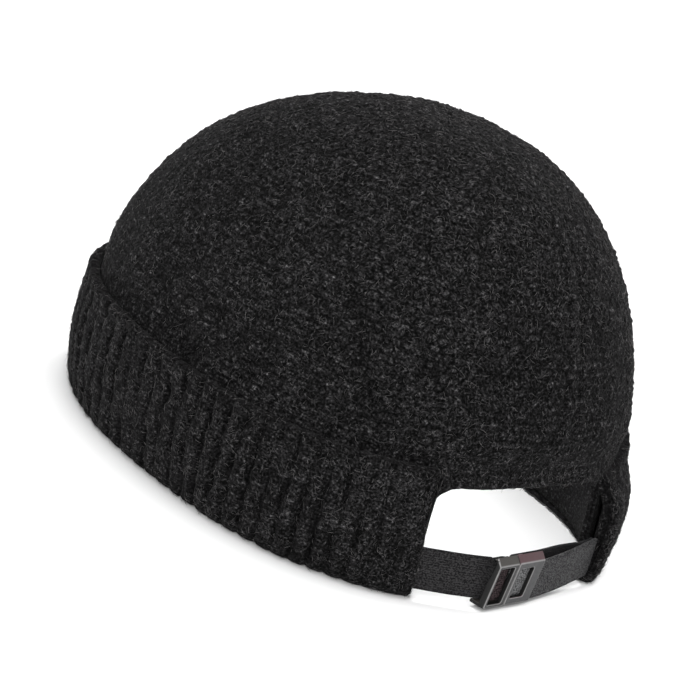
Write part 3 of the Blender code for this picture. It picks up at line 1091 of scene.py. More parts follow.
@dataclass
class Cuff:
    """The thick ribbed turn-up with its rounded fold and bound top edge, open at the back."""

    form: HeadForm
    ribs: int = 68
    crowding: float = 0.18
    columns: int = 690
    rib_depth: float = 0.00150
    stitch_height: float = 0.0026
    stitch_depth: float = 0.00045
    end_round: float = 0.0018
    end_bulge: float = 0.0010
    front_bulge: float = 0.0012
    front_roll: float = 0.0012
    end_droop: float = 0.0042
    end_flare: float = 0.0015
    end_pinch: float = 0.0056
    around: int = 88
    left_toe: float = 0.0016
    left_recess: float = 0.0014
    right_pinch: float = 0.0008
    right_dip: float = 0.0022
    waver: Hills = Hills(0.13, 0.0045, 150, 31)
    slow_waver: Hills = Hills(0.07, 0.02, 40, 32)
    deepening: Hills = Hills(0.75, 0.0055, 150, 33)
    row_waver: Hills = Hills(0.2, 0.005, 160, 34)
    swell: Hills = Hills(0.00035, 0.02, 30, 35)
    tufts: Hills = Hills(0.45, 0.0016, 420, 36)
    sizes: tuple[int, int] = (64, 71)
    smallest: float = 0.4
    sharpness: float = 3.4
    fade_in: float = 0.045
    drawn_reach: float = 0.040
    near_reach: float = 0.014
    toe_reach: float = 0.018
    recess_reach: float = 0.012
    right_toe: float = 0.0022

    def profile(self) -> Array:
        """The section across the cuff: its corners are cut three times, then even steps, wider where hidden.

        Returns:
            Rows of inset, height and share of the rib depth, from the top edge down outside and up inside.
        """
        top, wall, bulge = self.form.cuff_height, self.form.cuff_thickness, 0.0013
        points = np.array([
            (0.0030, top + 0.0001, 0.35),
            (0.0006, top - 0.0002, 0.45),
            (0.0000, top * 0.955, 0.75),
            (bulge * 0.55, top * 0.90, 0.95),
            (-bulge * 0.8, top * 0.68, 1.0),
            (-bulge * 1.0, top * 0.42, 1.0),
            (0.0, top * 0.15, 1.0),
            (0.0008, 0.0016, 0.8),
            (0.0030, 0.0000, 0.3),
            (0.0058, 0.0000, 0.2),
            (0.0082, 0.0018, 0.4),
            (0.0083, 0.0034, 0.3),
            (wall, 0.0036, 0.0),
            (wall, 0.0200, 0.0),
            (wall, top * 0.96, 0.0),
            (wall * 0.8, top, 0.1),
        ])
        for _ in range(3):
            after = np.roll(points, -1, axis=0)
            pairs = [points * 0.75 + after * 0.25, points * 0.25 + after * 0.75]
            points = np.stack(pairs, axis=1).reshape(-1, 3)
        closed = np.vstack([points, points[:1]])
        length = np.hypot(np.diff(closed[:, 0]), np.diff(closed[:, 1]))
        weight = np.where(closed[:-1, 2] > 0.15, 1.0, 0.3) * length
        walked = np.concatenate([[0], np.cumsum(weight)])
        even = np.linspace(0, walked[-1], self.around, endpoint=False)
        return np.column_stack([np.interp(even, walked, closed[:, k]) for k in range(3)])

    def spread(self) -> tuple[Array, Array]:
        """Angles of the columns from the left end round the front to the right end.

        Returns:
            Angles and shares of the way; the columns stand closer near both ends.
        """
        fine = np.linspace(self.form.end_angle(Side.LEFT), self.form.end_angle(Side.RIGHT) - TURN, 6000)
        x, y = self.form.cuff_point(fine, self.form.cuff_height / 2, 0.0)
        walked = walked_along(x, y)
        self.length = float(walked[-1])
        even = np.linspace(0, 1, self.columns)
        along = even - 0.9 * np.sin(TURN * even) / TURN * groove(np.minimum(even, 1 - even), 0.02)
        along = np.sort(along)
        share = along - self.crowding * np.sin(TURN * along) / TURN
        return np.interp(share * self.length, walked, fine), along

    def knit(self, along: Array, down: Array) -> tuple[Array, Array]:
        """A valley runs between ribs as a power of a cosine, and small arches down each rib are its stitches.

        Args:
            along: Shares of the way round, one to a column.
            down: Distances down the section, one to a row.

        Returns:
            Offsets in metres, and shares from 0 to 1 that paint shade into the rib valleys and light onto the
            stitches' tops.
        """
        rib = self.ribs * along + (self.waver.at(along, down) + self.slow_waver.at(along, down))
        from_ridge = rib - np.round(rib)
        valley = (0.5 - 0.5 * np.cos(TURN * from_ridge)) ** self.sharpness
        distance = np.minimum(along, 1 - along) * self.length
        deep = np.clip(0.78 + self.deepening.at(along, down), 0.05, 1.25)
        deep = deep * (0.30 + 0.70 * smooth_step(distance / self.fade_in))
        row = down / self.stitch_height + 0.35 * np.abs(from_ridge) * 2 + self.row_waver.at(along, down)
        rows, columns = self.sizes
        own = np.random.default_rng(6).uniform(self.smallest, 1.0, self.sizes)
        size = own[np.floor(row).astype(int) % rows, np.round(rib).astype(int) % columns]
        stitch = arch(row) ** 0.8 * size + self.tufts.at(along, down)
        offset = -self.rib_depth * valley * deep + self.stitch_depth * (stitch - 0.5) * (1 - valley)
        # Painted shade: the share falls in the rib valleys, where they are deep, and rises on the stitches'
        # tops.
        relief = (1 - valley * np.minimum(deep, 1)) * (0.40 + 0.60 * stitch)
        return offset + self.swell.at(along, down), np.clip(relief, 0, 1)

    def carried(self, theta: Array, along: Array, profile: Array, offset: Array) -> Array:
        """The section carried round the head: fuller and rolled in front, drawn in and low at its right end.

        Args:
            theta: Angles of the columns.
            along: Shares of the way round.
            profile: Insets, heights and rib shares of the section.
            offset: How far each point stands off it.

        Returns:
            Points, column by column.
        """
        inset, height, ribbing = profile.T
        ahead = np.roll(profile[:, :2], -1, axis=0) - np.roll(profile[:, :2], 1, axis=0)
        way = ahead / np.linalg.norm(ahead, axis=1, keepdims=True)
        share = height[None] / self.form.cuff_height
        held = np.clip(share, 0, 1)
        front = np.clip(-np.sin(theta), 0, 1) ** 4
        full = self.front_bulge * front * np.sin(math.pi * held) * (ribbing[None] > 0)
        rolled = self.front_roll * front * smooth_step((share - 0.82) / 0.15)
        from_left, from_right = along * self.length, (1 - along) * self.length
        right, near = groove(from_right, self.drawn_reach), groove(from_right, self.near_reach)
        foot = (1 - held) ** 1.5 / self.form.half_length
        hollow = groove(share - 0.70, 0.20) * groove(from_left, self.recess_reach)
        theta = theta + self.left_toe * foot * groove(from_left, self.toe_reach)
        theta = theta - self.left_recess / self.form.half_length * hollow
        theta = theta - self.right_toe * foot * groove(from_right, self.toe_reach)
        drawn = self.end_pinch * smooth_step((share - 0.70) / 0.30)
        flare = right * (self.end_flare * (0.55 + share) - drawn)
        flare = flare - self.right_pinch * near * held**3
        inset = inset[None] + way[None, :, 1] * offset - full + rolled - flare
        droop = (self.end_droop * right + self.right_dip * near) / self.form.cuff_height
        z = (height[None] - way[None, :, 0] * offset) * (1 - droop)
        x, y = self.form.cuff_point(theta, z, inset)
        return np.stack([x, y + self.form.set_back, np.maximum(z, 0.0)], axis=-1)

    def build(self) -> bpy.types.Object:
        """Build the cuff.

        Returns:
            One closed piece with rounded ends, each with a slit for the strap.
        """
        profile = self.profile()
        ribbing = profile[None, :, 2]
        down = walked_along(profile[:, 0], profile[:, 1])
        theta, along = (values[:, None] for values in self.spread())
        offset, relief = self.knit(along, down[None])
        short = 1 - np.clip(np.minimum(along, 1 - along) * self.length / self.end_round, 0, 1)
        rounding = self.end_round * (1 - np.sqrt(1 - short**2 * 0.92))
        offset = offset * ribbing * (1 - 0.7 * short) - rounding
        relief = relief * ribbing + 0.3 * (1 - ribbing)
        grid = self.carried(theta, along, profile, offset)
        skin = Skin()
        mark_down = np.append(down, down[-1] + 0.001) / self.stitch_height
        rings = []
        for column, points in enumerate(grid):
            marks = np.column_stack([np.full(len(mark_down), self.ribs * along[column, 0]), mark_down])
            rings.append(skin.ring(points, marks, relief[column]))
        skin.chain(rings)
        self._close(skin, rings[0], grid[0], grid[0] - grid[1], True)
        self._close(skin, rings[-1], grid[-1], grid[-1] - grid[-2], False)
        return skin.make("cuff_knit", flip=True)

    def _close(self, skin: Skin, ring: int, edge: Array, way: Array, first: bool) -> None:
        """Close one end with a soft bulge that sinks to a slit.

        Args:
            skin: The mesh so far.
            ring: The end's ring.
            edge: Its points.
            way: Steps that lead out of the end.
            first: Whether this is the first end, whose faces look the other way.
        """
        outward = way.mean(axis=0) * (1, 1, 0)
        outward /= np.linalg.norm(outward)
        middle = edge.mean(axis=0)
        inward = np.array([-outward[1], outward[0], 0.0])
        depth = (edge - middle) @ inward
        slit = edge - depth[:, None] * inward
        slit[:, 2] = np.clip(edge[:, 2], 0.0045, self.form.cuff_height - 0.0035)
        previous = ring
        marks = skin.marks[ring]
        for share, bulge in ((0.3, 0.75), (0.6, 1.0), (0.82, 0.4), (0.94, -1.6)):
            points = edge * (1 - share) + slit * share + outward * bulge * self.end_bulge
            # The sunk ring takes a low share: painted shade in the slit.
            made = skin.ring(points, marks, 0.5 if bulge > 0 else 0.1)
            skin.join(*((made, previous) if first else (previous, made)))
            previous = made
        skin.cap(previous, flip=first)


@dataclass
class Fuzz:
    """Stray fibres that lie over a knitted piece, each a thin closed strand."""

    name: str
    count: int
    seed: int
    length: tuple[float, float] = (0.0007, 0.0027)
    lift: tuple[float, float] = (0.0, 0.00035)
    radius: float = 0.000045
    stations: int = 3
    stand_off: float = 0.00008

    def strands(self, root: Array, out: Array, rng: np.random.Generator) -> Array:
        """The fibres' points.

        A fibre is an arc: its root, plus its length along the surface, plus its lift times the sine of its
        way, plus a side bend by the square of its way. Three points stand round it at each of its stations.

        Args:
            root: The fibres' roots.
            out: Outward directions there.
            rng: The source of the random draws.

        Returns:
            Points by fibre, station and place round it.
        """
        loose = rng.normal(size=(self.count, 3))
        along = loose - (loose * out).sum(axis=1, keepdims=True) * out
        along /= np.linalg.norm(along, axis=1, keepdims=True)
        beside = np.cross(out, along)
        ranges = (self.length, self.lift, (-0.8, 0.8), (0.55, 1.0))
        length, lift, bend, reach = (rng.uniform(*ends, self.count)[:, None, None] for ends in ranges)
        way = np.linspace(0, 1, self.stations)[None, :, None]
        centre = root[:, None] + along[:, None] * length * way + beside[:, None] * length * bend * way**2
        centre = centre + out[:, None] * lift * np.sin(math.pi * reach * way) + out[:, None] * self.stand_off
        centre[..., 2] = np.maximum(centre[..., 2], 2 * self.radius)
        thin = self.radius * (1.0 - 0.6 * np.abs(2 * way - 1) ** 3)
        turn = np.array([0, TURN / 3, 2 * TURN / 3])[None, None, :, None]
        ring = np.cos(turn) * beside[:, None, None] + np.sin(turn) * out[:, None, None]
        return centre[:, :, None] + thin[:, :, None] * ring

    def build(self, piece: bpy.types.Object, keep: Callable[[Array, Array], Array]) -> bpy.types.Object:
        """Build the fibres.

        Args:
            piece: The knitted piece that carries them.
            keep: Says which points of it, by place and outward direction, may carry one.

        Returns:
            One mesh of all the strands.
        """
        rng = np.random.default_rng(self.seed)
        fields = []
        for name in ("co", "normal"):
            values = np.zeros(len(piece.data.vertices) * 3, np.float32)
            piece.data.vertices.foreach_get(name, values)
            fields.append(values.reshape(-1, 3).astype(float))
        points, normals = fields
        chosen = rng.choice(np.flatnonzero(keep(points, normals)), self.count)
        tube = self.strands(points[chosen], normals[chosen], rng)
        size = 3 * self.stations
        tone = np.repeat(rng.uniform(0, 1, self.count), size)
        base = (np.arange(self.count) * size)[:, None, None]
        station = np.arange(self.stations - 1)[None, :, None] * 3
        corner = np.arange(3)[None, None, :]
        low, low_after = base + station + corner, base + station + (corner + 1) % 3
        sides = np.stack([low, low_after, low_after + 3, low + 3], axis=-1).reshape(-1, 4)
        last = size - 3 + np.arange(3)
        ends = np.vstack([base[:, :, 0] + np.array([2, 1, 0]), base[:, :, 0] + last])
        skin = Skin()
        skin.points, skin.relief = [tube.reshape(-1, 3)], [tone]
        skin.polygons = [sides, ends]
        skin.corners = [np.zeros((*sides.shape, 2)), np.zeros((*ends.shape, 2))]
        return skin.make(self.name)


def grown(box: Box, amount: float) -> Box:
    """A box grown on every side."""
    return box[0] - amount, box[1] + amount, box[2] - amount, box[3] + amount


@dataclass
class Buckle:
    """The two-part clip buckle: each frame is a plate with a window and a sloping top, rails and a bar."""

    form: HeadForm
    height: float = 0.0175
    plate: float = 0.0016
    wall: float = 0.0026
    slope: float = 0.0021
    bar: float = 0.0011
    bar_width: float = 0.0022
    offset: float = 0.0089
    reach: float = 0.1084
    turn: float = math.radians(5.5)
    lean: float = 0.17
    strap_width: float = 0.0146
    strap_thickness: float = 0.0013
    lift: float = 0.0025
    clearance: float = 0.0003
    left_size: Box = (0.0106, 0.0010, 0.0077, 0.0131)
    right_size: Box = (0.0137, 0.0047, 0.0073, 0.0108)

    def size(self, side: Side) -> Box:
        """Width, outer rim, window width and window height of a frame."""
        return self.left_size if side is Side.LEFT else self.right_size

    def span(self, side: Side) -> tuple[float, float]:
        """Where a frame begins and ends along the strap.

        Args:
            side: The wearer's left frame or right frame.

        Returns:
            Least and greatest way along the strap.
        """
        middle = (self.left_size[0] - self.right_size[0]) / 2
        if side is Side.LEFT:
            return middle - self.left_size[0] - self.clearance / 2, middle - self.clearance / 2
        return middle + self.clearance / 2, middle + self.right_size[0] + self.clearance / 2

    def depths(self) -> Triple:
        """Depths behind the face.

        Returns:
            Those of the strap's front layer, the bar and the strap's back layer, at their middles.
        """
        front = self.plate + self.clearance + self.strap_thickness / 2
        middle = front + self.strap_thickness / 2 + self.clearance + self.bar / 2
        return front, middle, 2 * middle - front

    def bar_span(self, side: Side) -> tuple[float, float]:
        """Start and end of a frame's bar, set back from the joint by the strap's loop.

        Args:
            side: The wearer's left frame or right frame.

        Returns:
            Least and greatest way along the strap.
        """
        low, high = self.span(side)
        front, _, back = self.depths()
        loop = (back - front) / 2 + self.strap_thickness / 2 + self.clearance
        if side is Side.LEFT:
            return high - loop - self.bar_width, high - loop
        return low + loop, low + loop + self.bar_width

    def leaning(self, local: Array) -> Array:
        """Points of a frame, whose top leans along the strap by a share of its rise."""
        return self.place(local + self.lean * local[:, 2:] * (1.0, 0.0, 0.0))

    def place(self, local: Array) -> Array:
        """Points in the shared frame.

        Args:
            local: Ways along the strap, depths behind the face and rises from the middle.

        Returns:
            The points.
        """
        along = np.array([-math.cos(self.turn), -math.sin(self.turn), 0.0])
        inward = np.array([math.sin(self.turn), -math.cos(self.turn), 0.0])
        middle = np.array([self.offset, self.reach + self.form.set_back, self.lift + self.strap_width / 2])
        return middle + local[:, :1] * along + local[:, 1:2] * inward + local[:, 2:] * np.array([0, 0, 1.0])

    def loop(self, box: Box, radius: float, depth: float) -> Array:
        """A rounded rectangle: five points on a quarter circle round each corner.

        Args:
            box: Lowest and highest place along the strap, then lowest and highest rise.
            radius: The corners' radius.
            depth: Its depth behind the face.

        Returns:
            Twenty points in the buckle's own axes.
        """
        left, right, low, high = box
        angles = np.linspace(0, math.pi / 2, 5)
        corners = []
        for x, z, start in (
            (right - radius, high - radius, 0.0),
            (left + radius, high - radius, 0.5),
            (left + radius, low + radius, 1.0),
            (right - radius, low + radius, 1.5),
        ):
            angle = angles + math.pi * start
            corners.append(np.column_stack([x + radius * np.cos(angle), z + radius * np.sin(angle)]))
        plan = np.vstack(corners)
        return np.column_stack([plan[:, 0], np.full(len(plan), depth), plan[:, 1]])

    def block(self, skin: Skin, low: Triple, high: Triple, bevel: float) -> None:
        """Add a closed block with bevelled edges.

        Args:
            skin: The mesh so far.
            low: Least place along the strap, depth and rise.
            high: Greatest of each.
            bevel: Width of its bevels.
        """
        rings = []
        depths = (low[1], low[1] + bevel, high[1] - bevel, high[1])
        for inset, depth in zip((bevel, 0.0, 0.0, bevel), depths):
            box = (low[0] + inset, high[0] - inset, low[2] + inset, high[2] - inset)
            points = self.leaning(self.loop(box, bevel, depth))
            rings.append(skin.ring(points, np.zeros((len(points) + 1, 2)), 0.4))
        skin.chain(rings)
        skin.cap(rings[0], flip=True)
        skin.cap(rings[-1])

    def build(self, side: Side) -> bpy.types.Object:
        """Build one frame.

        The face is a closed tube of rounded rectangles, each with its radius, depth and relief: up the
        window's edge, over the face and its bevel, and back. The relief paints light: 0 is painted shade in
        the window and at the back, 0.85 to 0.95 painted highlights on the bevels, and 1 a painted highlight
        along the left frame's top-left corner.

        Args:
            side: The wearer's left frame or right frame.

        Returns:
            The frame as one piece.
        """
        low, high = self.span(side)
        _, rim, window, window_height = self.size(side)
        left = side is Side.LEFT
        window_low = low + rim if left else high - rim - window
        drop = self.slope / 2 - 0.0001
        top, inner = self.height / 2, self.strap_width / 2 + self.clearance
        hole = (window_low, window_low + window, -window_height / 2 - drop, window_height / 2 - drop)
        full = (low, high, -top, top)
        face = (low + 0.0001, high - 0.0001, -top + 0.0002, top - self.slope)
        _, bar_depth, back = self.depths()
        deep = back + self.strap_thickness / 2 + self.clearance
        skin = Skin()
        tube = (
            (hole, 0.0007, self.plate, 0.0),
            (hole, 0.0007, 0.00045, 0.0),
            (grown(hole, 0.00004), 0.0007, 0.00020, 0.85),
            (grown(hole, 0.00016), 0.0008, 0.00004, 0.90),
            (grown(hole, 0.00036), 0.0010, 0.0, 0.45),
            (grown(face, -0.00036), 0.0004, 0.0, 0.45),
            (grown(face, -0.00016), 0.0004, 0.00003, 0.95),
            (face, 0.0005, 0.00020, 0.95),
            ((low, high, -top, top - self.slope * 0.85), 0.0005, 0.00050, 0.45),
            (full, 0.0006, self.wall - 0.0002, 0.45),
            (full, 0.0006, self.wall, 0.40),
            (grown(full, -0.0010), 0.0004, self.wall, 0.0),
        )
        rings = []
        for number, (box, radius, depth, relief) in enumerate(tube):
            points = self.leaning(self.loop(box, radius, depth))
            shade_and_highlight = np.full(len(points), relief)
            # Painted highlight along the left frame's top-left corner, across its face, slope and wall.
            if left and number in (7, 8, 9):
                shade_and_highlight[6:9] = 1.0
            rings.append(skin.ring(points, np.zeros((len(points) + 1, 2)), shade_and_highlight))
        skin.chain(rings + rings[:1])
        self.block(skin, (low, self.plate, inner), (high, self.wall + 0.0010, inner + 0.0005), 0.0002)
        self.block(skin, (low, self.plate, -top), (high, deep, -inner), 0.00025)
        bar_low, bar_high = self.bar_span(side)
        half = self.bar / 2
        reach = inner + 0.0003
        self.block(skin, (bar_low, bar_depth - half, -reach), (bar_high, bar_depth + half, reach), 0.0003)
        piece = skin.make("buckle_frame_left" if left else "buckle_frame_right", flip=True)
        piece.data.set_sharp_from_angle(angle=math.radians(38))
        return piece


@dataclass
class Strap:
    """A webbing strap: out of the cuff's slit, through its frame, round the bar and back."""

    form: HeadForm
    buckle: Buckle
    side: Side
    tail: float = 0.0100
    pocket_inset: float = 0.0029
    spread: float = 0.0016
    fold_end: float = 0.0030
    back_end: float = 0.0010
    station: float = 0.0006
    run_points: int = 24

    def drift(self) -> tuple[float, float, float, float, float]:
        """How the run between cuff and frame departs from the plain route.

        Returns:
            Way outward at the frame, then rises at the cuff and the frame, of the lower and the upper edge.
        """
        if self.side is Side.LEFT:
            return -0.0011, 0.0008, 0.0008, 0.0014, 0.0016
        return 0.0010, 0.0, -0.0014, 0.0, -0.0016

    def flat(self, along: float, depth: float) -> Array:
        """A plan point in the buckle's own axes."""
        return self.buckle.place(np.array([[along, depth, 0.0]]))[0, :2]

    def curve(self, start: Array, start_way: Array, finish: Array, finish_way: Array) -> Array:
        """A cubic Hermite curve between two plan points.

        Args:
            start: Its start.
            start_way: The way it leaves, a unit vector.
            finish: Its end.
            finish_way: The way it arrives.

        Returns:
            Points between the ends.
        """
        span = np.linalg.norm(finish - start)
        t = np.linspace(0, 1, self.run_points + 2)[1:-1, None]
        return (
            start * (2 * t**3 - 3 * t**2 + 1)
            + start_way * span * (t**3 - 2 * t**2 + t)
            + finish * (3 * t**2 - 2 * t**3)
            + finish_way * span * (t**3 - t**2)
        )

    def mouth(self) -> float:
        """How far along its route the strap enters its frame, after three pocket points and the run."""
        steps = np.linalg.norm(np.diff(self.route(), axis=0), axis=1)
        return float(steps[: 3 + self.run_points].sum())

    def route(self) -> Array:
        """The plan route.

        Returns:
            Points from the sewn tail in the cuff to the strap's other end.
        """
        sign = self.side.value
        into_cuff = sign * np.array([1.0, 0.5, 0.0]) * self.tail / self.form.half_length
        angles = self.form.end_angle(self.side) - into_cuff
        height = self.buckle.lift + self.buckle.strap_width / 2
        x, y = self.form.cuff_point(angles, height, self.pocket_inset)
        pocket = np.column_stack([x, y + self.form.set_back])
        out_way = pocket[2] - pocket[1]
        out_way /= np.linalg.norm(out_way)
        low, high = self.buckle.span(self.side)
        front, middle, back = self.buckle.depths()
        mouth = low if sign > 0 else high
        toward = (self.flat(1.0, 0.0) - self.flat(0.0, 0.0)) * sign
        inward = self.flat(0.0, 1.0) - self.flat(0.0, 0.0)
        enter, leave = self.flat(mouth, front), self.flat(mouth, back)
        bar_low, bar_high = self.buckle.bar_span(self.side)
        edge = bar_high if sign > 0 else bar_low
        radius = (back - front) / 2
        angle = np.linspace(0, math.pi, 13)
        turned = [(edge + sign * radius * math.sin(a), middle - radius * math.cos(a)) for a in angle]
        loop = np.array([self.flat(*place) for place in turned])
        chord = (enter - pocket[2]) / np.linalg.norm(enter - pocket[2])
        run = self.curve(pocket[2], (out_way + chord) / 2, enter, (toward + 2 * chord) / 3)
        parts = [pocket, run, enter[None], loop, leave[None]]
        if sign > 0:
            parts.append((leave - toward * self.back_end)[None])
            return np.vstack(parts)
        end = pocket[2] + out_way * self.fold_end + inward * (self.buckle.strap_thickness + 0.0003)
        inner = self.curve(leave, -toward, end, -out_way)
        bow = np.sin(math.pi * np.linspace(0, 1, len(inner) + 2)[1:-1]) ** 2
        parts += [inner + inward * self.spread * bow[:, None], end[None]]
        return np.vstack(parts)

    def path(self) -> tuple[Array, Array, Array]:
        """The route in even steps, smoothed twice and moved outward by its drift.

        Returns:
            Distances along it, its plan points, and the rise of the lower and the upper edge at each.
        """
        route = self.route()
        walked = np.concatenate([[0], np.cumsum(np.linalg.norm(np.diff(route, axis=0), axis=1))])
        even = np.linspace(0, walked[-1], round(walked[-1] / self.station))
        path = np.column_stack([np.interp(even, walked, route[:, k]) for k in range(2)])
        for _ in range(2):
            path[1:-1] = (path[:-2] + 2 * path[1:-1] + path[2:]) / 4
        outward, low_cuff, low_frame, top_cuff, top_frame = self.drift()
        mouth = self.mouth()
        ramp = smooth_step((even - self.tail) / (mouth - self.tail - 0.0010))
        free = smooth_step((mouth + 0.0010 - even) / 0.0015) * smooth_step(even / self.tail)
        path -= (self.flat(0.0, 1.0) - self.flat(0.0, 0.0)) * (outward * ramp * free)[:, None]
        low_rise = (low_cuff + (low_frame - low_cuff) * ramp) * free
        top_rise = (top_cuff + (top_frame - top_cuff) * ramp) * free
        return even, path, np.column_stack([low_rise, top_rise])

    def section(self) -> tuple[Array, Array]:
        """The flat section with rounded edges.

        Returns:
            Rises from its middle and distances from its middle plane.
        """
        half_thick, half_wide = self.buckle.strap_thickness / 2, self.buckle.strap_width / 2
        angle = np.linspace(0, math.pi, 7)[:-1] + math.pi / 12
        edge = half_thick * 0.75
        up = np.linspace(-half_wide + edge, half_wide - edge, 9)
        down = np.linspace(half_wide - edge, -half_wide + edge, 9)
        rounded = half_wide - edge + edge * np.sin(angle)
        flat, turned = np.full(9, half_thick), half_thick * np.cos(angle)
        return np.concatenate([up, rounded, down, -rounded]), np.concatenate([flat, turned, -flat, -turned])

    def build(self) -> bpy.types.Object:
        """Build the strap.

        Returns:
            Its section carried along the route, closed at both ends.
        """
        even, path, rises = self.path()
        rise, thick = self.section()
        way = np.gradient(path, axis=0)
        way /= np.linalg.norm(way, axis=1, keepdims=True)
        beside = np.column_stack([-way[:, 1], way[:, 0]])
        half_wide = self.buckle.strap_width / 2
        middle = self.buckle.lift + half_wide
        across = np.append(rise, rise[0]) + half_wide
        from_edge = 1 - np.abs(rise) / half_wide
        top_share = (half_wide + rise) / (2 * half_wide)
        skin = Skin()
        rings = []
        for number, (low_rise, top_rise) in enumerate(rises):
            plan = path[number] + beside[number] * thick[:, None]
            lifted = low_rise * (1 - top_share) + top_rise * top_share
            points = np.column_stack([plan, middle + rise + lifted])
            marks = np.column_stack([np.full(len(across), even[number]), across])
            rings.append(skin.ring(points, marks, from_edge))
        skin.chain(rings)
        skin.cap(rings[0], flip=True)
        skin.cap(rings[-1])
        return skin.make(f"strap_webbing_{self.side.name.lower()}")


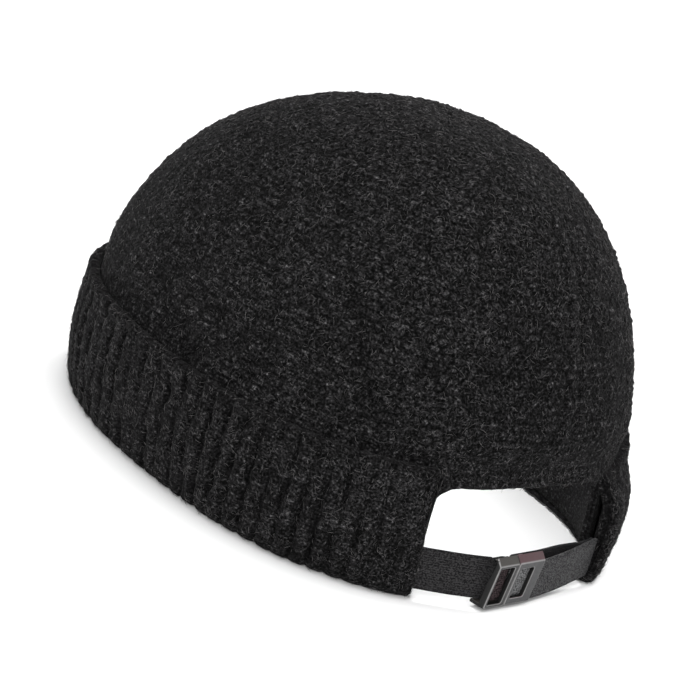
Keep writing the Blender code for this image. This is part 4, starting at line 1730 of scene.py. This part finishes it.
@dataclass
class Studio:
    """The pale floor, the soft lights and the camera at the photograph's angle."""

    azimuth: float = math.radians(132.945)
    elevation: float = math.radians(17.178)
    roll: float = math.radians(-16.925)
    distance: float = 1.100
    pixels_per_metre: float = 2821.0
    frame_pixels: float = 700.0
    target: Triple = (0.0, 0.00035, 0.060)
    target_pixel: tuple[float, float] = (369.0, 313.05)
    floor_half: float = 14.0
    floor_drop: float = 0.0002
    sky: float = 0.50

    def axes(self) -> tuple[Vector, Vector, Vector]:
        """The camera's axes.

        Returns:
            Its way back, its right and its up, both rolled.
        """
        a, e = self.azimuth, self.elevation
        back = Vector((math.sin(a) * math.cos(e), -math.cos(a) * math.cos(e), math.sin(e)))
        right = Vector((0, 0, 1)).cross(back).normalized()
        up = back.cross(right)
        across = right * math.cos(self.roll) - up * math.sin(self.roll)
        upward = right * math.sin(self.roll) + up * math.cos(self.roll)
        return back, across, upward

    def camera(self) -> None:
        """Stand the camera so that the target falls on its pixel of the frame."""
        back, across, upward = self.axes()
        middle = self.frame_pixels / 2
        right_by = (middle - self.target_pixel[0]) / self.pixels_per_metre
        down_by = (middle - self.target_pixel[1]) / self.pixels_per_metre
        target = Vector(self.target)
        place = target + back * self.distance
        aim = target + across * right_by - upward * down_by
        z_axis = (place - aim).normalized()
        x_axis = upward.cross(z_axis).normalized()
        y_axis = z_axis.cross(x_axis)
        data = bpy.data.cameras.new("camera")
        data.sensor_width = 36.0
        data.lens = data.sensor_width * self.pixels_per_metre * self.distance / self.frame_pixels
        data.clip_start, data.clip_end = 0.05, 50.0
        camera = bpy.data.objects.new("camera", data)
        bpy.context.scene.collection.objects.link(camera)
        turn = Matrix((x_axis, y_axis, z_axis)).transposed().to_4x4()
        camera.matrix_world = Matrix.Translation(place) @ turn
        bpy.context.scene.camera = camera

    def floor(self) -> None:
        """Lay the pale floor under the cap."""
        half = self.floor_half
        corners = [(-half, -half, 0.0), (half, -half, 0.0), (half, half, 0.0), (-half, half, 0.0)]
        mesh = bpy.data.meshes.new("floor")
        mesh.from_pydata(corners, [], [(0, 1, 2, 3)])
        floor = bpy.data.objects.new("floor", mesh)
        mesh.materials.append(PaleFloor().material())
        bpy.context.scene.collection.objects.link(floor)
        floor.location.z = -self.floor_drop

    def lamp(self, name: str, place: Vector, aim: Vector, size: float, power: float) -> None:
        """Hang one square soft light.

        Args:
            name: Its name.
            place: Where it hangs.
            aim: The point it looks at.
            size: Its edge in metres.
            power: Its watts.
        """
        data = bpy.data.lights.new(name, "AREA")
        data.shape = "SQUARE"
        data.size = size
        data.energy = power
        lamp = bpy.data.objects.new(name, data)
        lamp.location = place
        lamp.rotation_euler = (place - aim).to_track_quat("Z", "Y").to_euler()
        bpy.context.scene.collection.objects.link(lamp)

    def lights(self) -> None:
        """Hang the lights: one above, one behind, one by the camera and a weak one in the hollow, unseen."""
        back, across, upward = self.axes()
        middle = Vector((0.0, 0.0, 0.07))
        self.lamp("overhead", middle + Vector((0, 0, 1.5)) + upward * 0.5 + back * 0.1, middle, 1.6, 38.0)
        self.lamp("rim", middle - back * 0.75 + across * 1.0 + upward * 0.95, middle, 0.9, 20.0)
        self.lamp("fill", middle + back * 1.7 - across * 0.15 + upward * 0.25, middle, 0.8, 23.0)
        self.lamp("hollow", Vector((0.0, 0.01, 0.105)), Vector((0.0, 0.01, 0.0)), 0.05, 0.22)
        bpy.data.objects["hollow"].visible_camera = False
        world = bpy.data.worlds.new("studio")
        world.use_nodes = True
        background = world.node_tree.nodes["Background"]
        background.inputs["Color"].default_value = (1.0, 1.0, 1.0, 1.0)
        background.inputs["Strength"].default_value = self.sky
        bpy.context.scene.world = world
        bpy.context.scene.view_settings.view_transform = "Standard"


def on_crown(side: Side) -> Callable[[Array, Array], Array]:
    """Say which points of the crown may carry fibres.

    Args:
        side: The half of the crown.

    Returns:
        A test for its outer face, above the cuff or over the opening, by places and outward directions.
    """

    def test(points: Array, normals: Array) -> Array:
        """Whether each point lies on the outer face, on the wanted side.

        Args:
            points: Places.
            normals: Outward directions.

        Returns:
            True where a fibre may stand.
        """
        outward = ((points - MIDDLE) * normals).sum(axis=1) > 0
        behind = (points[:, 1] > 0.06) & (np.abs(points[:, 0]) < 0.044) & (points[:, 2] > 0.040)
        half = (points[:, 0] > 0) == (side is Side.LEFT)
        return outward & ((points[:, 2] > 0.047) | behind) & half

    return test


def on_cuff(points: Array, normals: Array) -> Array:
    """Outer face of the cuff."""
    outward = ((points - MIDDLE) * normals)[:, :2].sum(axis=1) > 0.01
    return outward & (points[:, 2] > 0.001)


def main() -> None:
    """Build the cap's pieces in order, dress them, and set the studio."""
    logging.basicConfig(level=logging.INFO, format="%(name)s %(message)s")
    form = HeadForm()
    crown = Crown(form).build()
    dress(crown, KnitYarn("moss_knit").material(), ("crown",))
    cuff = Cuff(form).build()
    dress(cuff, KnitYarn("rib_knit", middle=0.0051).material(), ("cuff",))
    fibre = LooseFibre("stray_fibre").material()
    for side, seed in ((Side.LEFT, 41), (Side.RIGHT, 43)):
        fuzz = Fuzz(f"crown_fuzz_{side.name.lower()}", FIBRES, seed)
        dress(fuzz.build(crown, on_crown(side)), fibre)
    dress(Fuzz("cuff_fuzz", FIBRES, 42).build(cuff, on_cuff), fibre)
    buckle = Buckle(form)
    for side in Side:
        strap = Strap(form, buckle, side)
        look = TAPES[side].material(buckle.strap_width, strap.mouth())
        name = side.name.lower()
        dress(strap.build(), look, (f"strap_{name}",))
        dress(buckle.build(side), PLASTICS[side].material(), (f"buckle_{name}",))
    studio = Studio()
    studio.floor()
    studio.lights()
    studio.camera()


if __name__ == "__main__":
    main()
